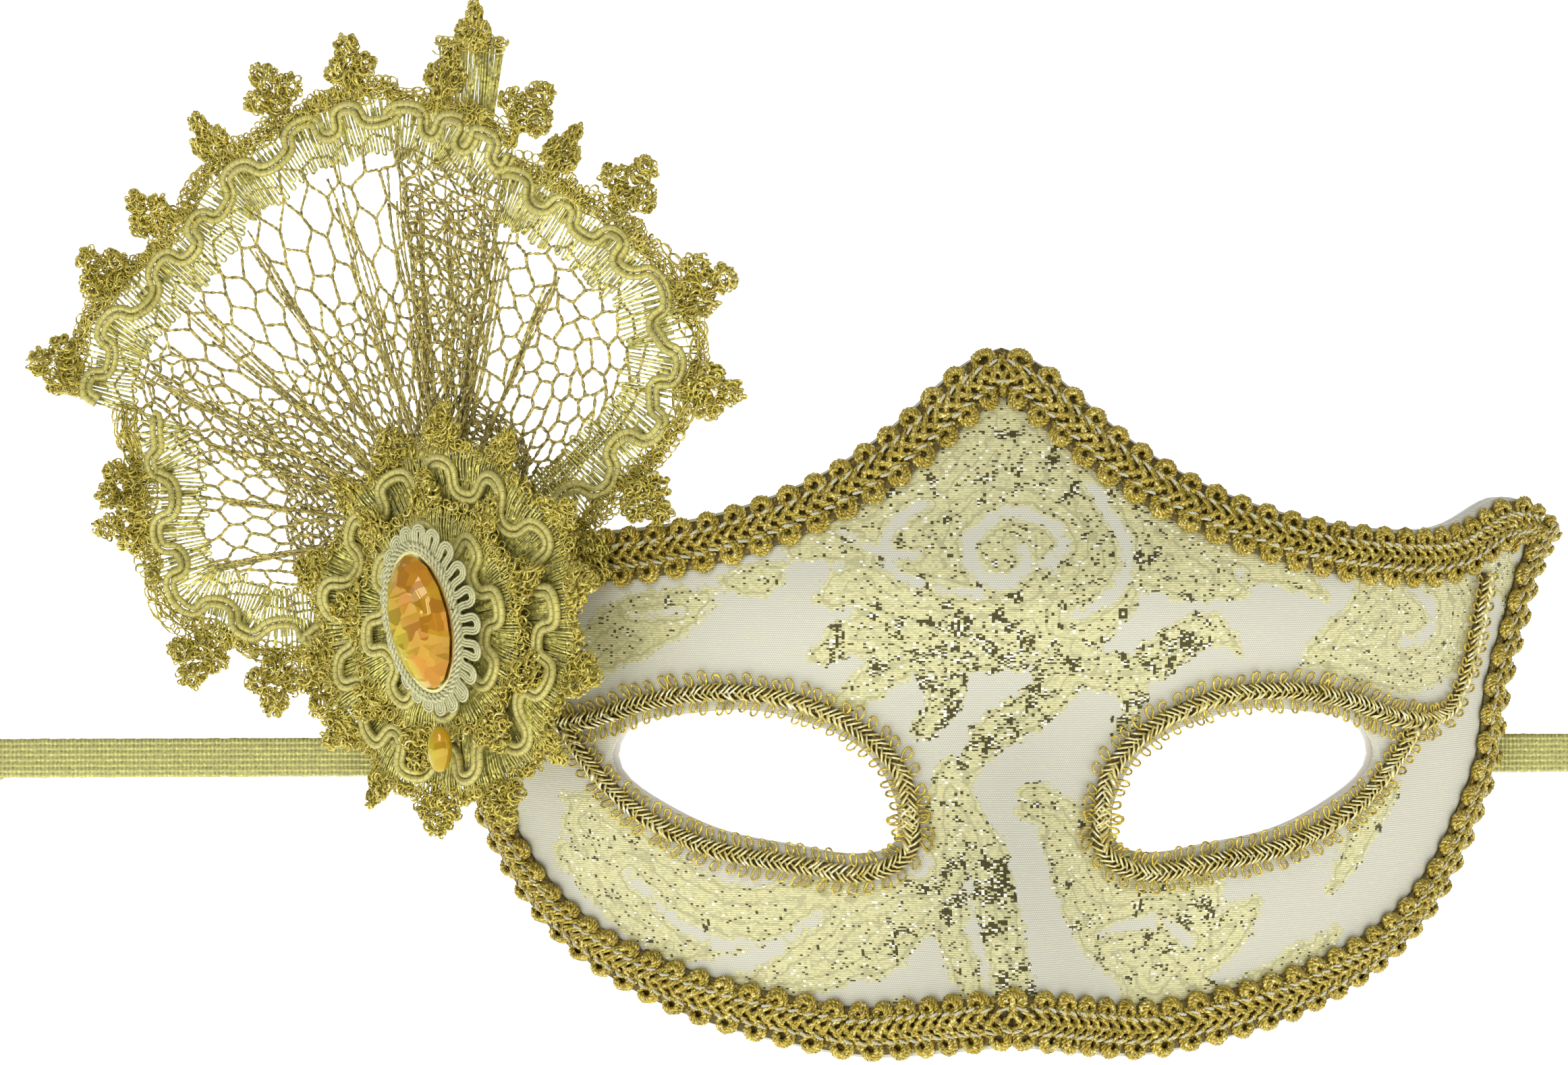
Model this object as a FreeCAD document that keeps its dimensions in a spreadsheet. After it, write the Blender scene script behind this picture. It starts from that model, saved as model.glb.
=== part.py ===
"""Venetian masquerade mask: brocade-covered half mask with gimp braid, lace fan, rosette and elastic.

Millimetres.  +X is the viewer's right, -Y faces the viewer, +Z is up.  The origin is where the lining
rests on the bridge of the wearer's nose, between the eye openings.
"""
import FreeCAD, Part
import math
import os
import Sketcher
from FreeCAD import Vector

doc = FreeCAD.newDocument("VenetianMask")

# ---------------------------------------------------------------- driving sizes
SIZES = [
    ("mask_half_width", 91.0, "nose to upper corner tip, seen from the front"),
    ("mask_height", 107.0, "brow peak to cheek edge"),
    ("wrap_depth", 86.0, "how far the mask curves back round the head"),
    ("nose_relief", 13.0, "height of the nose ridge at its lower end"),
    ("shell_thickness", 1.2, "papier-mache shell"),
    ("shell_inset", 1.2, "shell edge inside the braid's outer edge"),
    ("lining_thickness", 0.4, "felt lining"),
    ("brocade_thickness", 0.4, "brocade cover"),
    ("eye_length", 41.6, "eye opening, corner to corner"),
    ("braid_width", 9.5, "edge braid"),
    ("braid_thickness", 1.6, "edge braid"),
    ("trim_width", 5.5, "picot trim round an eye opening"),
    ("trim_thickness", 1.2, "picot trim"),
    ("temple_trim_width", 4.2, "end of the picot trim that runs up the temple"),
    ("layer_gap", 0.05, "clearance between stacked layers"),
    ("fan_size", 1.0, "scale of the lace fan's pattern"),
    ("net_thickness", 0.8, "pleated net"),
    ("pleat_depth", 0.7, "height of a pleat at the fan's edge"),
    ("lace_width", 12.0, "lace edging of the fan"),
    ("lace_thickness", 2.0, "lace edging of the fan"),
    ("rosette_radius", 31.0, "outer ruffle"),
    ("inner_ruffle_radius", 21.0, "inner ruffle"),
    ("ruffle_thickness", 2.4, "gathered lace"),
    ("ruffle_wave", 3.0, "rise of the ruffle's waves at its rim"),
    ("cord_ring_radius", 25.5, "scroll cord on the outer ruffle"),
    ("cord_ring_width", 3.2, "scroll cord on the outer ruffle"),
    ("felt_radius", 16.0, "felt disc behind the rosette"),
    ("felt_thickness", 1.5, "felt disc behind the rosette"),
    ("jewel_length", 21.0, "oval stone"),
    ("jewel_width", 11.5, "oval stone"),
    ("jewel_depth", 5.0, "oval stone"),
    ("cup_wall", 0.5, "metal cup round the stone"),
    ("cup_floor", 0.6, "metal cup under the stone"),
    ("cup_height", 1.9, "metal cup round the stone"),
    ("ring_width", 4.2, "serpentine gimp round the jewel"),
    ("ring_thickness", 2.0, "serpentine gimp round the jewel"),
    ("bead_length", 7.0, "small stone below the jewel"),
    ("bead_width", 4.0, "small stone below the jewel"),
    ("bead_depth", 3.4, "small stone below the jewel"),
    ("bead_gap", 0.7165, "between the gimp's lower end and the small stone"),
    ("strap_width", 6.0, "flat elastic"),
    ("strap_thickness", 0.9, "flat elastic"),
    ("strap_drop", 3.2, "elastic's centre below the origin"),
    ("left_strap_length", 73.0, "rim to knot"),
    ("right_strap_length", 37.0, "rim to knot"),
    ("strap_clearance", 0.9, "hinge line to the glued end"),
    ("tab_length", 16.0, "elastic glued inside the rim"),
    ("glue_margin", 2.0, "glue pad round the tab"),
    ("glue_thickness", 0.8, "glue pad over the tab"),
    ("knot_diameter", 7.0, "knot in the elastic's end"),
    ("knot_length", 8.0, "knot in the elastic's end"),
]

sheet = doc.addObject("Spreadsheet::Sheet", "Sizes")
for row, (alias, value, meaning) in enumerate(SIZES, start=1):
    sheet.set("A%d" % row, alias)
    sheet.set("B%d" % row, str(value))
    sheet.set("C%d" % row, meaning)
    sheet.setAlias("B%d" % row, alias)
doc.recompute()


def size(alias):
    """Read one driving size from the sheet."""
    return float(sheet.get(alias))


# ---------------------------------------------------------------- patterns, drawn for the sizes below
PATTERN_HALF_WIDTH = 91.0
PATTERN_HEIGHT = 107.0
PATTERN_EYE_LENGTH = 41.6

BROW_EDGE = [(0, 61), (4.7, 59.2), (8.7, 56.4), (16, 49.9), (26.6, 42.5), (38, 37.5), (51, 34.2),
             (62, 33.0), (72, 34), (81, 37.4), (88, 34.3), (91, 31)]
CHEEK_EDGE = [(0, -43), (9, -44.6), (20, -46.1), (30.5, -44.8), (41, -42.6), (52, -38.7),
              (63, -32), (71, -22.8), (76.2, -12.8), (79.6, -3.3), (80.9, 7), (84, 17.4),
              (87, 25.5), (91, 31)]
EYE_EDGE = [(16.2, -12.8), (16.6, -6), (20.5, 0.2), (28, 4.2), (38, 6.3), (48, 5.3), (56, 2.4),
            (57.6, -1.6), (51.5, -7.8), (41, -12.2), (29, -14.2), (19, -14.6)]
TEMPLE_RUN = [(63.5, 3.5), (68.5, 4.6), (70.6, 7.4), (72.2, 11.5), (73.4, 16), (74.4, 20.4)]
EYE_CENTRE = (37.0, -4.0)

scale_x = size("mask_half_width") / PATTERN_HALF_WIDTH
scale_z = size("mask_height") / PATTERN_HEIGHT

# ---------------------------------------------------------------- the mask's front face
SPAN_AT_EYES = 89.0        # half width at which the face would turn straight back
SPAN_FLARE = 0.2           # growth of that half width per unit of height
STEEPEST = 0.956           # share of the span where the curve runs on straight
BROW_CREST = 10.0          # height above which the forehead leans back
FOREHEAD_LEAN = 0.004
CHIN_LEAN = 0.00132
NOSE_TOP = 8.0
NOSE_RUN = 48.0
NOSE_HALF_WIDTH = 8.0
NOSE_FLARE = 5.0
BROW_BULGE = 2.5
SOCKET_DIP = 2.5


def relief(x, z):
    """Depth of the face's front at a place on the pattern, before it is seated on the nose."""
    u = abs(x / scale_x)
    w = z / scale_z
    share = u / (SPAN_AT_EYES + SPAN_FLARE * w)
    bend = min(share, STEEPEST)
    root = math.sqrt(1.0 - bend * bend)
    wrap = 1.0 - root + (share - bend) * bend / root
    lean = FOREHEAD_LEAN if w > BROW_CREST else CHIN_LEAN
    fall = min(max((NOSE_TOP - w) / NOSE_RUN, 0.0), 1.0)
    ridge = fall * fall * (3.0 - 2.0 * fall) * math.exp(-(u / (NOSE_HALF_WIDTH + NOSE_FLARE * fall)) ** 2)
    brow = BROW_BULGE * math.exp(-((w - 24.0) / 9.0) ** 2 - (u / 45.0) ** 2)
    socket = SOCKET_DIP * math.exp(-(w / 12.0) ** 2 - ((u - 36.0) / 18.0) ** 2)
    return (size("wrap_depth") * wrap + lean * (w - BROW_CREST) ** 2
            - size("nose_relief") * ridge - brow + socket)


SEAT = relief(0, 0) + size("shell_thickness") + size("layer_gap") + size("lining_thickness")


def front(x, z):
    """Depth (Y) of the papier-mache's front face at a place on the pattern."""
    return relief(x, z) - SEAT


def slope(x, z):
    """Gradient of the front face along X and Z."""
    step = 0.5
    along_x = (front(x + step, z) - front(x - step, z)) / (2 * step)
    along_z = (front(x, z + step) - front(x, z - step)) / (2 * step)
    return along_x, along_z


def raised(x, z, height):
    """Depth of a layer that stands a height off the front face, measured square to it."""
    along_x, along_z = slope(x, z)
    return front(x, z) - height * math.sqrt(1.0 + along_x ** 2 + along_z ** 2)


GRID_X = 64
GRID_Z = 36
REACH_X = 104.0 * scale_x
LOW_Z = -58.0 * scale_z
HIGH_Z = 72.0 * scale_z


def surface_face(depth_at):
    """Smooth face y = depth_at(x, z) over the whole pattern."""
    rows = []
    for i in range(GRID_X + 1):
        x = REACH_X * (2.0 * i / GRID_X - 1.0)
        row = []
        for j in range(GRID_Z + 1):
            z = LOW_Z + (HIGH_Z - LOW_Z) * j / GRID_Z
            row.append(Vector(x, depth_at(x, z), z))
        rows.append(row)
    surface = Part.BSplineSurface()
    surface.interpolate(rows)
    return surface.toShape()


def slab(low, high):
    """Closed solid between two heights above the front face, over the whole pattern."""
    back = surface_face(lambda x, z: raised(x, z, low))
    fore = surface_face(lambda x, z: raised(x, z, high))
    walls = [Part.makeRuledSurface(a, b) for a, b in zip(back.Edges, fore.Edges)]
    solid = Part.makeSolid(Part.makeShell([back, fore] + walls))
    if solid.Volume < 0:
        solid.reverse()
    return solid


def spline(points, closed=False):
    """Smooth edge through (x, z) points in the front plane."""
    curve = Part.BSplineCurve()
    curve.interpolate([Vector(x, 0, z) for x, z in points], PeriodicFlag=closed)
    return curve.toShape()


def fitted(points):
    """Pattern points at the mask's own width and height."""
    return [(x * scale_x, z * scale_z) for x, z in points]


def sampled(edge, count):
    """Evenly spaced (x, z) points along an edge."""
    return [(p.x, p.z) for p in edge.discretize(count)]


def walked(point, direction, width):
    """Point reached by walking a width over the front face in a direction seen from the front."""
    x, z = point
    steps = 12
    for _ in range(steps):
        along_x, along_z = slope(x, z)
        rise = along_x * direction[0] + along_z * direction[1]
        move = width / steps / math.sqrt(1.0 + rise * rise)
        x += direction[0] * move
        z += direction[1] * move
    return x, z


def offset_side(samples, width, side):
    """Points a width away from an edge, measured over the front face; side is +1 left, -1 right."""
    moved = []
    last = len(samples) - 1
    for i, point in enumerate(samples):
        before = samples[max(i - 1, 0)]
        after = samples[min(i + 1, last)]
        run_x = after[0] - before[0]
        run_z = after[1] - before[1]
        length = math.hypot(run_x, run_z)
        moved.append(walked(point, (-run_z / length * side, run_x / length * side), width))
    return moved


def closed_face(edges):
    """Flat face in the front plane, bounded by edges that meet end to end."""
    return Part.Face(Part.Wire(Part.__sortEdges__(edges)))


def line(a, b):
    """Straight edge between two (x, z) points in the front plane."""
    return Part.makeLine(Vector(a[0], 0, a[1]), Vector(b[0], 0, b[1]))


def band_face(outer, inner):
    """Flat face between two rows of points."""
    return closed_face([spline(outer), line(outer[-1], inner[-1]), spline(inner), line(inner[0], outer[0])])


def mirrored(shape):
    """The same shape on the other side of the nose."""
    return shape.mirror(Vector(0, 0, 0), Vector(1, 0, 0))


PRISM_FRONT = -60.0
PRISM_LENGTH = 260.0


def prism(face):
    """A front-plane face carried straight back through the mask."""
    moved = face.copy()
    moved.translate(Vector(0, PRISM_FRONT, 0))
    return moved.extrude(Vector(0, PRISM_LENGTH, 0))


def layer(face, low, high):
    """Part of the slab between two heights that lies behind a front-plane face."""
    return slab(low, high).common(prism(face))


def feature(name, shape):
    """A free-form piece: its shape is set, checked and labelled."""
    solids = shape.Solids
    piece = doc.addObject("Part::Feature", name)
    piece.Shape = solids[0] if len(solids) == 1 else Part.makeCompound(solids)
    piece.Label = name
    return piece


parts = []

# ---------------------------------------------------------------- outlines
BROW_SAMPLES = 46
CHEEK_SAMPLES = 60
brow_right = spline(fitted(BROW_EDGE))
cheek_right = spline(fitted(CHEEK_EDGE))
half_outline = closed_face([brow_right, cheek_right,
                            line(fitted(BROW_EDGE)[0], fitted(CHEEK_EDGE)[0])])

eye_scale = size("eye_length") / PATTERN_EYE_LENGTH


def eye_points(points):
    """Eye pattern points about the eye's centre, at the eye's own length."""
    return [((EYE_CENTRE[0] + (x - EYE_CENTRE[0]) * eye_scale) * scale_x,
             (EYE_CENTRE[1] + (z - EYE_CENTRE[1]) * eye_scale) * scale_z) for x, z in points]


eye_right = spline(eye_points(EYE_EDGE), closed=True)
eye_face = Part.Face(Part.Wire([eye_right]))

# ---------------------------------------------------------------- shell, lining and brocade
shrink = 1.0 - size("shell_inset") / size("mask_half_width")
cut_half = half_outline.copy().scale(shrink, Vector(0, 0, 0))
whole_cut = prism(cut_half).cut(prism(eye_face))
whole_cut = whole_cut.fuse(mirrored(whole_cut)).removeSplitter()


def skin(low, high):
    """A layer over the whole mask with both eye openings cut."""
    return slab(low, high).common(whole_cut)


shell_back = -size("shell_thickness")
lining_front = shell_back - size("layer_gap")
lining_back = lining_front - size("lining_thickness")
brocade_back = size("layer_gap")
brocade_front = brocade_back + size("brocade_thickness")
braid_back = brocade_front + size("layer_gap")

parts.append(feature("mask_shell", skin(shell_back, 0.0)))
parts.append(feature("inner_lining", skin(lining_back, lining_front)))
parts.append(feature("brocade_cover", skin(brocade_back, brocade_front)))

# ---------------------------------------------------------------- edge braid
def spaced(points, gap):
    """The points that stand at least a gap from the one kept before them."""
    kept = [points[0]]
    for point in points[1:]:
        if math.dist(point, kept[-1]) >= gap:
            kept.append(point)
    return kept


BROW_END = 0.965           # share of the half width where the top braid meets the lower one
MITRE_START = 1.0
BEND_GAP = 2.4             # least spacing of inner points, where the edge bends outwards
brow_outer = [p for p in sampled(brow_right, BROW_SAMPLES) if p[0] < BROW_END * size("mask_half_width")]
brow_inner = offset_side(brow_outer, size("braid_width"), -1)
brow_inner = spaced([p for p in brow_inner if p[0] > MITRE_START], BEND_GAP)
first_x, first_z = brow_inner[0]
next_x, next_z = brow_inner[1]
mitre_z = first_z - first_x * (next_z - first_z) / (next_x - first_x)
brow_inner.insert(0, (0.0, mitre_z))
cheek_outer = sampled(cheek_right, CHEEK_SAMPLES)
cheek_inner = offset_side(cheek_outer, size("braid_width"), 1)
cheek_inner[0] = (0.0, cheek_inner[0][1])

cheek_band = band_face(cheek_outer, cheek_inner)
brow_band = band_face(brow_outer, brow_inner).cut(cheek_band)
brow_band = max(brow_band.Faces, key=lambda f: f.Area)

braid_front = braid_back + size("braid_thickness")
brow_half = layer(brow_band, braid_back, braid_front)
parts.append(feature("top_braid", brow_half.fuse(mirrored(brow_half))))
cheek_half = layer(cheek_band, braid_back, braid_front)
parts.append(feature("lower_braid_right", cheek_half))
parts.append(feature("lower_braid_left", mirrored(cheek_half)))

# ---------------------------------------------------------------- picot trim round the eyes
EYE_SAMPLES = 49
eye_inner = sampled(eye_right, EYE_SAMPLES)[:-1]
trim_outer = []
for i, here in enumerate(eye_inner):
    before_x, before_z = eye_inner[i - 1]
    after_x, after_z = eye_inner[(i + 1) % len(eye_inner)]
    run = math.hypot(after_x - before_x, after_z - before_z)
    normal = ((after_z - before_z) / run, -(after_x - before_x) / run)
    outward = (here[0] - EYE_CENTRE[0] * scale_x) * normal[0] + (here[1] - EYE_CENTRE[1] * scale_z) * normal[1]
    if outward < 0:
        normal = (-normal[0], -normal[1])
    trim_outer.append(walked(here, normal, size("trim_width")))
trim_face = Part.Face(Part.Wire([spline(trim_outer, closed=True)])).cut(eye_face)

temple_line = sampled(spline(fitted(TEMPLE_RUN)), 12)
half_strand = size("temple_trim_width") / 2
temple_face = band_face(offset_side(temple_line, half_strand, 1), offset_side(temple_line, half_strand, -1))
temple_face = temple_face.cut(trim_face).cut(brow_band).cut(cheek_band)
temple_face = max(temple_face.Faces, key=lambda f: f.Area)

trim_front = braid_back + size("trim_thickness")
for side_name, turn in (("right", lambda s: s), ("left", mirrored)):
    parts.append(feature("eye_trim_" + side_name, turn(layer(trim_face, braid_back, trim_front))))
    parts.append(feature("temple_trim_" + side_name, turn(layer(temple_face, braid_back, trim_front))))

# ---------------------------------------------------------------- elastic: glued tabs, straps and knots
CHEEK_RIM = 79.6           # rim of the pattern at the strap's height
TAB_END_SETBACK = 1.4      # glued end stays behind the rim
strap_z = -size("strap_drop") * scale_z
rim_x = CHEEK_RIM * scale_x
tab_end = rim_x - TAB_END_SETBACK
half_strap = size("strap_width") / 2


def rectangle(low_x, high_x, low_z, high_z):
    """Flat face in the front plane."""
    corners = [Vector(low_x, 0, low_z), Vector(high_x, 0, low_z), Vector(high_x, 0, high_z),
               Vector(low_x, 0, high_z), Vector(low_x, 0, low_z)]
    return Part.Face(Part.makePolygon(corners))


def walked_in(distance):
    """X of a place a distance in from the tab's end, measured over the face."""
    return walked((tab_end, strap_z), (-1.0, 0.0), distance)[0]


tab_back = lining_back - size("layer_gap")
tab_deep = tab_back - size("strap_thickness")
tab_start = walked_in(size("tab_length"))
tab_face = rectangle(tab_start, tab_end, strap_z - half_strap, strap_z + half_strap)
glue_face = rectangle(walked_in(size("tab_length") + size("glue_margin")), walked_in(size("glue_margin")),
                      strap_z - half_strap - size("glue_margin"), strap_z + half_strap + size("glue_margin"))
tab_shape = layer(tab_face, tab_deep, tab_back)
glue_shape = layer(glue_face, tab_deep - size("glue_thickness"), tab_back).cut(tab_shape)

hinge_x = tab_end + size("strap_clearance") + size("strap_thickness") / 2
hinge_y = raised(tab_end, strap_z, (tab_back + tab_deep) / 2)

for side_name, turn, sign in (("right", lambda s: s, 1), ("left", mirrored, -1)):
    parts.append(feature("strap_tab_" + side_name, turn(tab_shape)))
    parts.append(feature("glue_pad_" + side_name, turn(glue_shape)))

    length_alias = side_name + "_strap_length"
    ribbon = doc.addObject("Part::Box", "strap_run_" + side_name)
    ribbon.setExpression("Length", "Sizes." + length_alias)
    ribbon.setExpression("Width", "Sizes.strap_thickness")
    ribbon.setExpression("Height", "Sizes.strap_width")
    low_x = hinge_x if sign > 0 else -hinge_x - size(length_alias)
    ribbon.Placement.Base = Vector(low_x, hinge_y - size("strap_thickness") / 2, strap_z - half_strap)
    root = doc.addObject("Part::Cylinder", "strap_root_" + side_name)
    root.setExpression("Radius", "Sizes.strap_thickness / 2")
    root.setExpression("Height", "Sizes.strap_width")
    root.Placement.Base = Vector(sign * hinge_x, hinge_y, strap_z - half_strap)
    strap = doc.addObject("Part::Fuse", "strap_" + side_name)
    strap.Base = ribbon
    strap.Tool = root
    strap.Label = "strap_" + side_name
    parts.append(strap)

    knot = doc.addObject("Part::Cylinder", "knot_core_" + side_name)
    knot.setExpression("Radius", "Sizes.knot_diameter / 2")
    knot.setExpression("Height", "Sizes.knot_length")
    knot.Placement = FreeCAD.Placement(
        Vector(sign * (hinge_x + size(length_alias)), hinge_y, strap_z),
        FreeCAD.Rotation(Vector(0, 1, 0), 90 * sign))
    doc.recompute()
    rounded = doc.addObject("Part::Fillet", "strap_knot_" + side_name)
    rounded.Base = knot
    knot_round = size("knot_diameter") * 0.3
    rims = [i for i, e in enumerate(knot.Shape.Edges, start=1) if isinstance(e.Curve, Part.Circle)]
    rounded.Edges = [(i, knot_round, knot_round) for i in rims]
    rounded.Label = "strap_knot_" + side_name
    parts.append(rounded)

# ---------------------------------------------------------------- lace fan
FAN_ROOT = (-82.8, 31.8)
ROOT_STAND = 8.7           # the fan's root stands this far forward of the papier-mache
RIGHT_FALL = 40.0          # the right lobe comes forward by up to this much
RIGHT_RUN = 32.0
LEFT_FALL = 50.0           # the left lobes lean back by up to this much
LEFT_RUN = 50.0
ROOT_RADIUS = 7.0
PLEAT_PITCH = 15.0         # degrees
NET_REACH = 60.0
GAP_ANGLE = 0.5            # degrees cut from each side of a lobe
ANGLE_STEP = 1.6           # degrees between the rows that shape a lobe
LEAST_ACROSS = 14
ALONG = 6                  # steps from a row's inner end to its outer end

LOBES = [
    ("lower", [(235, 20), (215, 23), (204, 31), (192, 39), (180, 40), (168, 41), (160, 46)]),
    ("left", [(159, 55), (150, 57), (140, 56), (130, 56.5), (120, 60), (108, 62), (97, 62.5)]),
    ("pleat", [(96, 61), (91, 59.5), (86, 57), (81, 55)]),
    ("right", [(80, 51.5), (68, 49), (55, 47), (45, 43), (36, 37), (28, 24), (20, 14.5), (10, 10)]),
]


def fan_depth(x):
    """Depth of the fan's middle surface: it bows round the temple."""
    away = (x - FAN_ROOT[0] * scale_x) / size("fan_size")
    if away > 0:
        bow = -RIGHT_FALL * (1.0 - math.exp(-away / RIGHT_RUN))
    else:
        bow = LEFT_FALL * (1.0 - math.exp(away / LEFT_RUN))
    root = front(FAN_ROOT[0] * scale_x, FAN_ROOT[1] * scale_z)
    return root - ROOT_STAND + bow * size("fan_size")


def fan_point(angle, radius):
    """Point on the pleated fan, from polar places about its root."""
    turn = math.radians(angle)
    x = FAN_ROOT[0] * scale_x + radius * math.cos(turn)
    z = FAN_ROOT[1] * scale_z + radius * math.sin(turn)
    wave = math.sin(2 * math.pi * angle / PLEAT_PITCH) * radius / NET_REACH
    return Vector(x, fan_depth(x) + size("pleat_depth") * wave, z)


def lobe_radius(outline, angle):
    """Radius of a lobe's net at an angle, eased between its pattern points."""
    for (a0, r0), (a1, r1) in zip(outline, outline[1:]):
        if a1 <= angle <= a0:
            share = (a0 - angle) / (a0 - a1)
            ease = share * share * (3 - 2 * share)
            return (r0 + (r1 - r0) * ease) * size("fan_size")
    return outline[-1][1] * size("fan_size")


def fan_sheet(outline, inner_of, outer_of, thickness):
    """Closed solid of a fan piece between two radii that depend on the angle."""
    start = outline[0][0] - GAP_ANGLE
    end = outline[-1][0] + GAP_ANGLE
    across = max(LEAST_ACROSS, int((start - end) / ANGLE_STEP))
    rows = []
    for i in range(across + 1):
        angle = start + (end - start) * i / across
        radius = lobe_radius(outline, angle)
        inner = inner_of(radius)
        outer = outer_of(radius)
        row = []
        for j in range(ALONG + 1):
            row.append(fan_point(angle, inner + (outer - inner) * j / ALONG))
        rows.append(row)
    surface = Part.BSplineSurface()
    surface.interpolate(rows)
    face = surface.toShape()
    face.translate(Vector(0, -thickness / 2, 0))
    return face.extrude(Vector(0, thickness, 0))


root_radius = ROOT_RADIUS * size("fan_size")
for lobe, outline in LOBES:
    net = fan_sheet(outline, lambda r: root_radius, lambda r: r - size("layer_gap"), size("net_thickness"))
    parts.append(feature("fan_net_" + lobe, net))
    edging = fan_sheet(outline, lambda r: r, lambda r: r + size("lace_width"), size("lace_thickness"))
    parts.append(feature("fan_lace_" + lobe, edging))

# ---------------------------------------------------------------- rosette
ROSETTE_PLACE = (-80.0, 19.0)
ROSETTE_TURN = 45.0        # degrees the rosette faces away from the viewer, round the temple
ROSETTE_STAND = 6.0        # its felt stands this far forward of the fan's root
WAVES = 9
RUFFLE_EYE = 2.0           # small hole at a ruffle's gathered centre

turned = math.radians(ROSETTE_TURN)
rosette_right = Vector(math.cos(turned), -math.sin(turned), 0)
rosette_up = Vector(0, 0, 1)
rosette_out = Vector(-math.sin(turned), -math.cos(turned), 0)
rosette_x = ROSETTE_PLACE[0] * scale_x
rosette_base = Vector(rosette_x, fan_depth(rosette_x) - ROSETTE_STAND, ROSETTE_PLACE[1] * scale_z)
rosette_rotation = FreeCAD.Rotation(rosette_right, rosette_up, rosette_out, "ZXY")


def on_rosette(height, right=0.0, up=0.0, spin=0.0):
    """Placement on the rosette: height off the felt's back, shifted and spun in its plane."""
    base = rosette_base + rosette_out * height + rosette_right * right + rosette_up * up
    return FreeCAD.Placement(base, rosette_rotation * FreeCAD.Rotation(Vector(0, 0, 1), spin))


def wave_height(radius, angle):
    """Rise of the ruffles' waves; they are flat at the centre and fullest at the rim."""
    swell = (radius / size("rosette_radius")) ** 2
    return size("ruffle_wave") * swell * (0.5 + 0.5 * math.sin(WAVES * angle))


def ruffle(inner, outer, height, thickness):
    """Closed wavy ring on the rosette's axis, in the rosette's own frame."""
    turns = WAVES * 12
    rings = 6
    rows = []
    for i in range(turns):
        angle = 2 * math.pi * i / turns
        row = []
        for j in range(rings + 1):
            radius = inner + (outer - inner) * j / rings
            row.append(Vector(radius * math.cos(angle), radius * math.sin(angle),
                              height + wave_height(radius, angle)))
        rows.append(row)
    rows.append(rows[0])
    halves = []
    for first, last in ((0, turns // 2), (turns // 2, turns)):
        surface = Part.BSplineSurface()
        surface.interpolate(rows[first:last + 1])
        halves.append(surface.toShape().extrude(Vector(0, 0, thickness)))
    return halves[0].fuse(halves[1])


def body_with_plane_sketch(name):
    """A body and its first sketch, on the body's own XY plane."""
    body = doc.addObject("PartDesign::Body", name)
    body.Label = name
    sketch = body.newObject("Sketcher::SketchObject", name + "_sketch")
    plane = [o for o in body.Origin.OriginFeatures if o.Role == "XY_Plane"][0]
    sketch.AttachmentSupport = (plane, [""])
    sketch.MapMode = "FlatFace"
    return body, sketch


def add_ellipse(sketch, long_size, wide_size):
    """Ellipse about the sketch's centre, long axis upright, with both axes bound to expressions."""
    index = sketch.addGeometry(Part.Ellipse(Vector(0, 10, 0), Vector(-5, 0, 0), Vector(0, 0, 0)), False)
    sketch.exposeInternalGeometry(index)
    sketch.addConstraint(Sketcher.Constraint("Coincident", index, 3, -1, 1))
    sketch.addConstraint(Sketcher.Constraint("Vertical", index + 1))
    for axis, expression in ((index + 1, long_size), (index + 2, wide_size)):
        at = sketch.addConstraint(Sketcher.Constraint("Distance", axis, 1, axis, 2, 15.0 - 3.0 * (axis - index)))
        sketch.setExpression("Constraints[%d]" % at, expression)
    return index


def pad(body, sketch, length):
    """Pad a sketch of a body by an expression."""
    padded = body.newObject("PartDesign::Pad", body.Label + "_pad")
    padded.Profile = sketch
    padded.setExpression("Length", length)
    return padded


felt, felt_sketch = body_with_plane_sketch("rosette_felt")
add_ellipse(felt_sketch, "2 * Sizes.felt_radius", "2 * Sizes.felt_radius * 0.999")
pad(felt, felt_sketch, "Sizes.felt_thickness")
felt.Placement = on_rosette(0.0)
parts.append(felt)

outer_height = size("felt_thickness") + size("layer_gap")
inner_height = outer_height + size("ruffle_thickness") + size("layer_gap")
seat_height = inner_height + size("ruffle_thickness") + size("layer_gap")
outer_ruffle = feature("rosette_outer_ruffle", ruffle(RUFFLE_EYE, size("rosette_radius"), outer_height,
                                                      size("ruffle_thickness")))
inner_ruffle = feature("rosette_inner_ruffle", ruffle(RUFFLE_EYE, size("inner_ruffle_radius"), inner_height,
                                                      size("ruffle_thickness")))
cord_ring = feature("rosette_scroll_cord",
                    ruffle(size("cord_ring_radius") - size("cord_ring_width") / 2,
                           size("cord_ring_radius") + size("cord_ring_width") / 2,
                           inner_height, size("ruffle_thickness") / 2))
for piece in (outer_ruffle, inner_ruffle, cord_ring):
    piece.Placement = on_rosette(0.0)
    parts.append(piece)

# ---------------------------------------------------------------- jewel
JEWEL_TILT = 18.0          # degrees the stone's top leans to the left
JEWEL_UP = 0.0
ring_reach = size("jewel_length") / 2 + size("cup_wall") + size("ring_width")
jewel_seat = seat_height + size("ruffle_wave") * (ring_reach / size("rosette_radius")) ** 2

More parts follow.
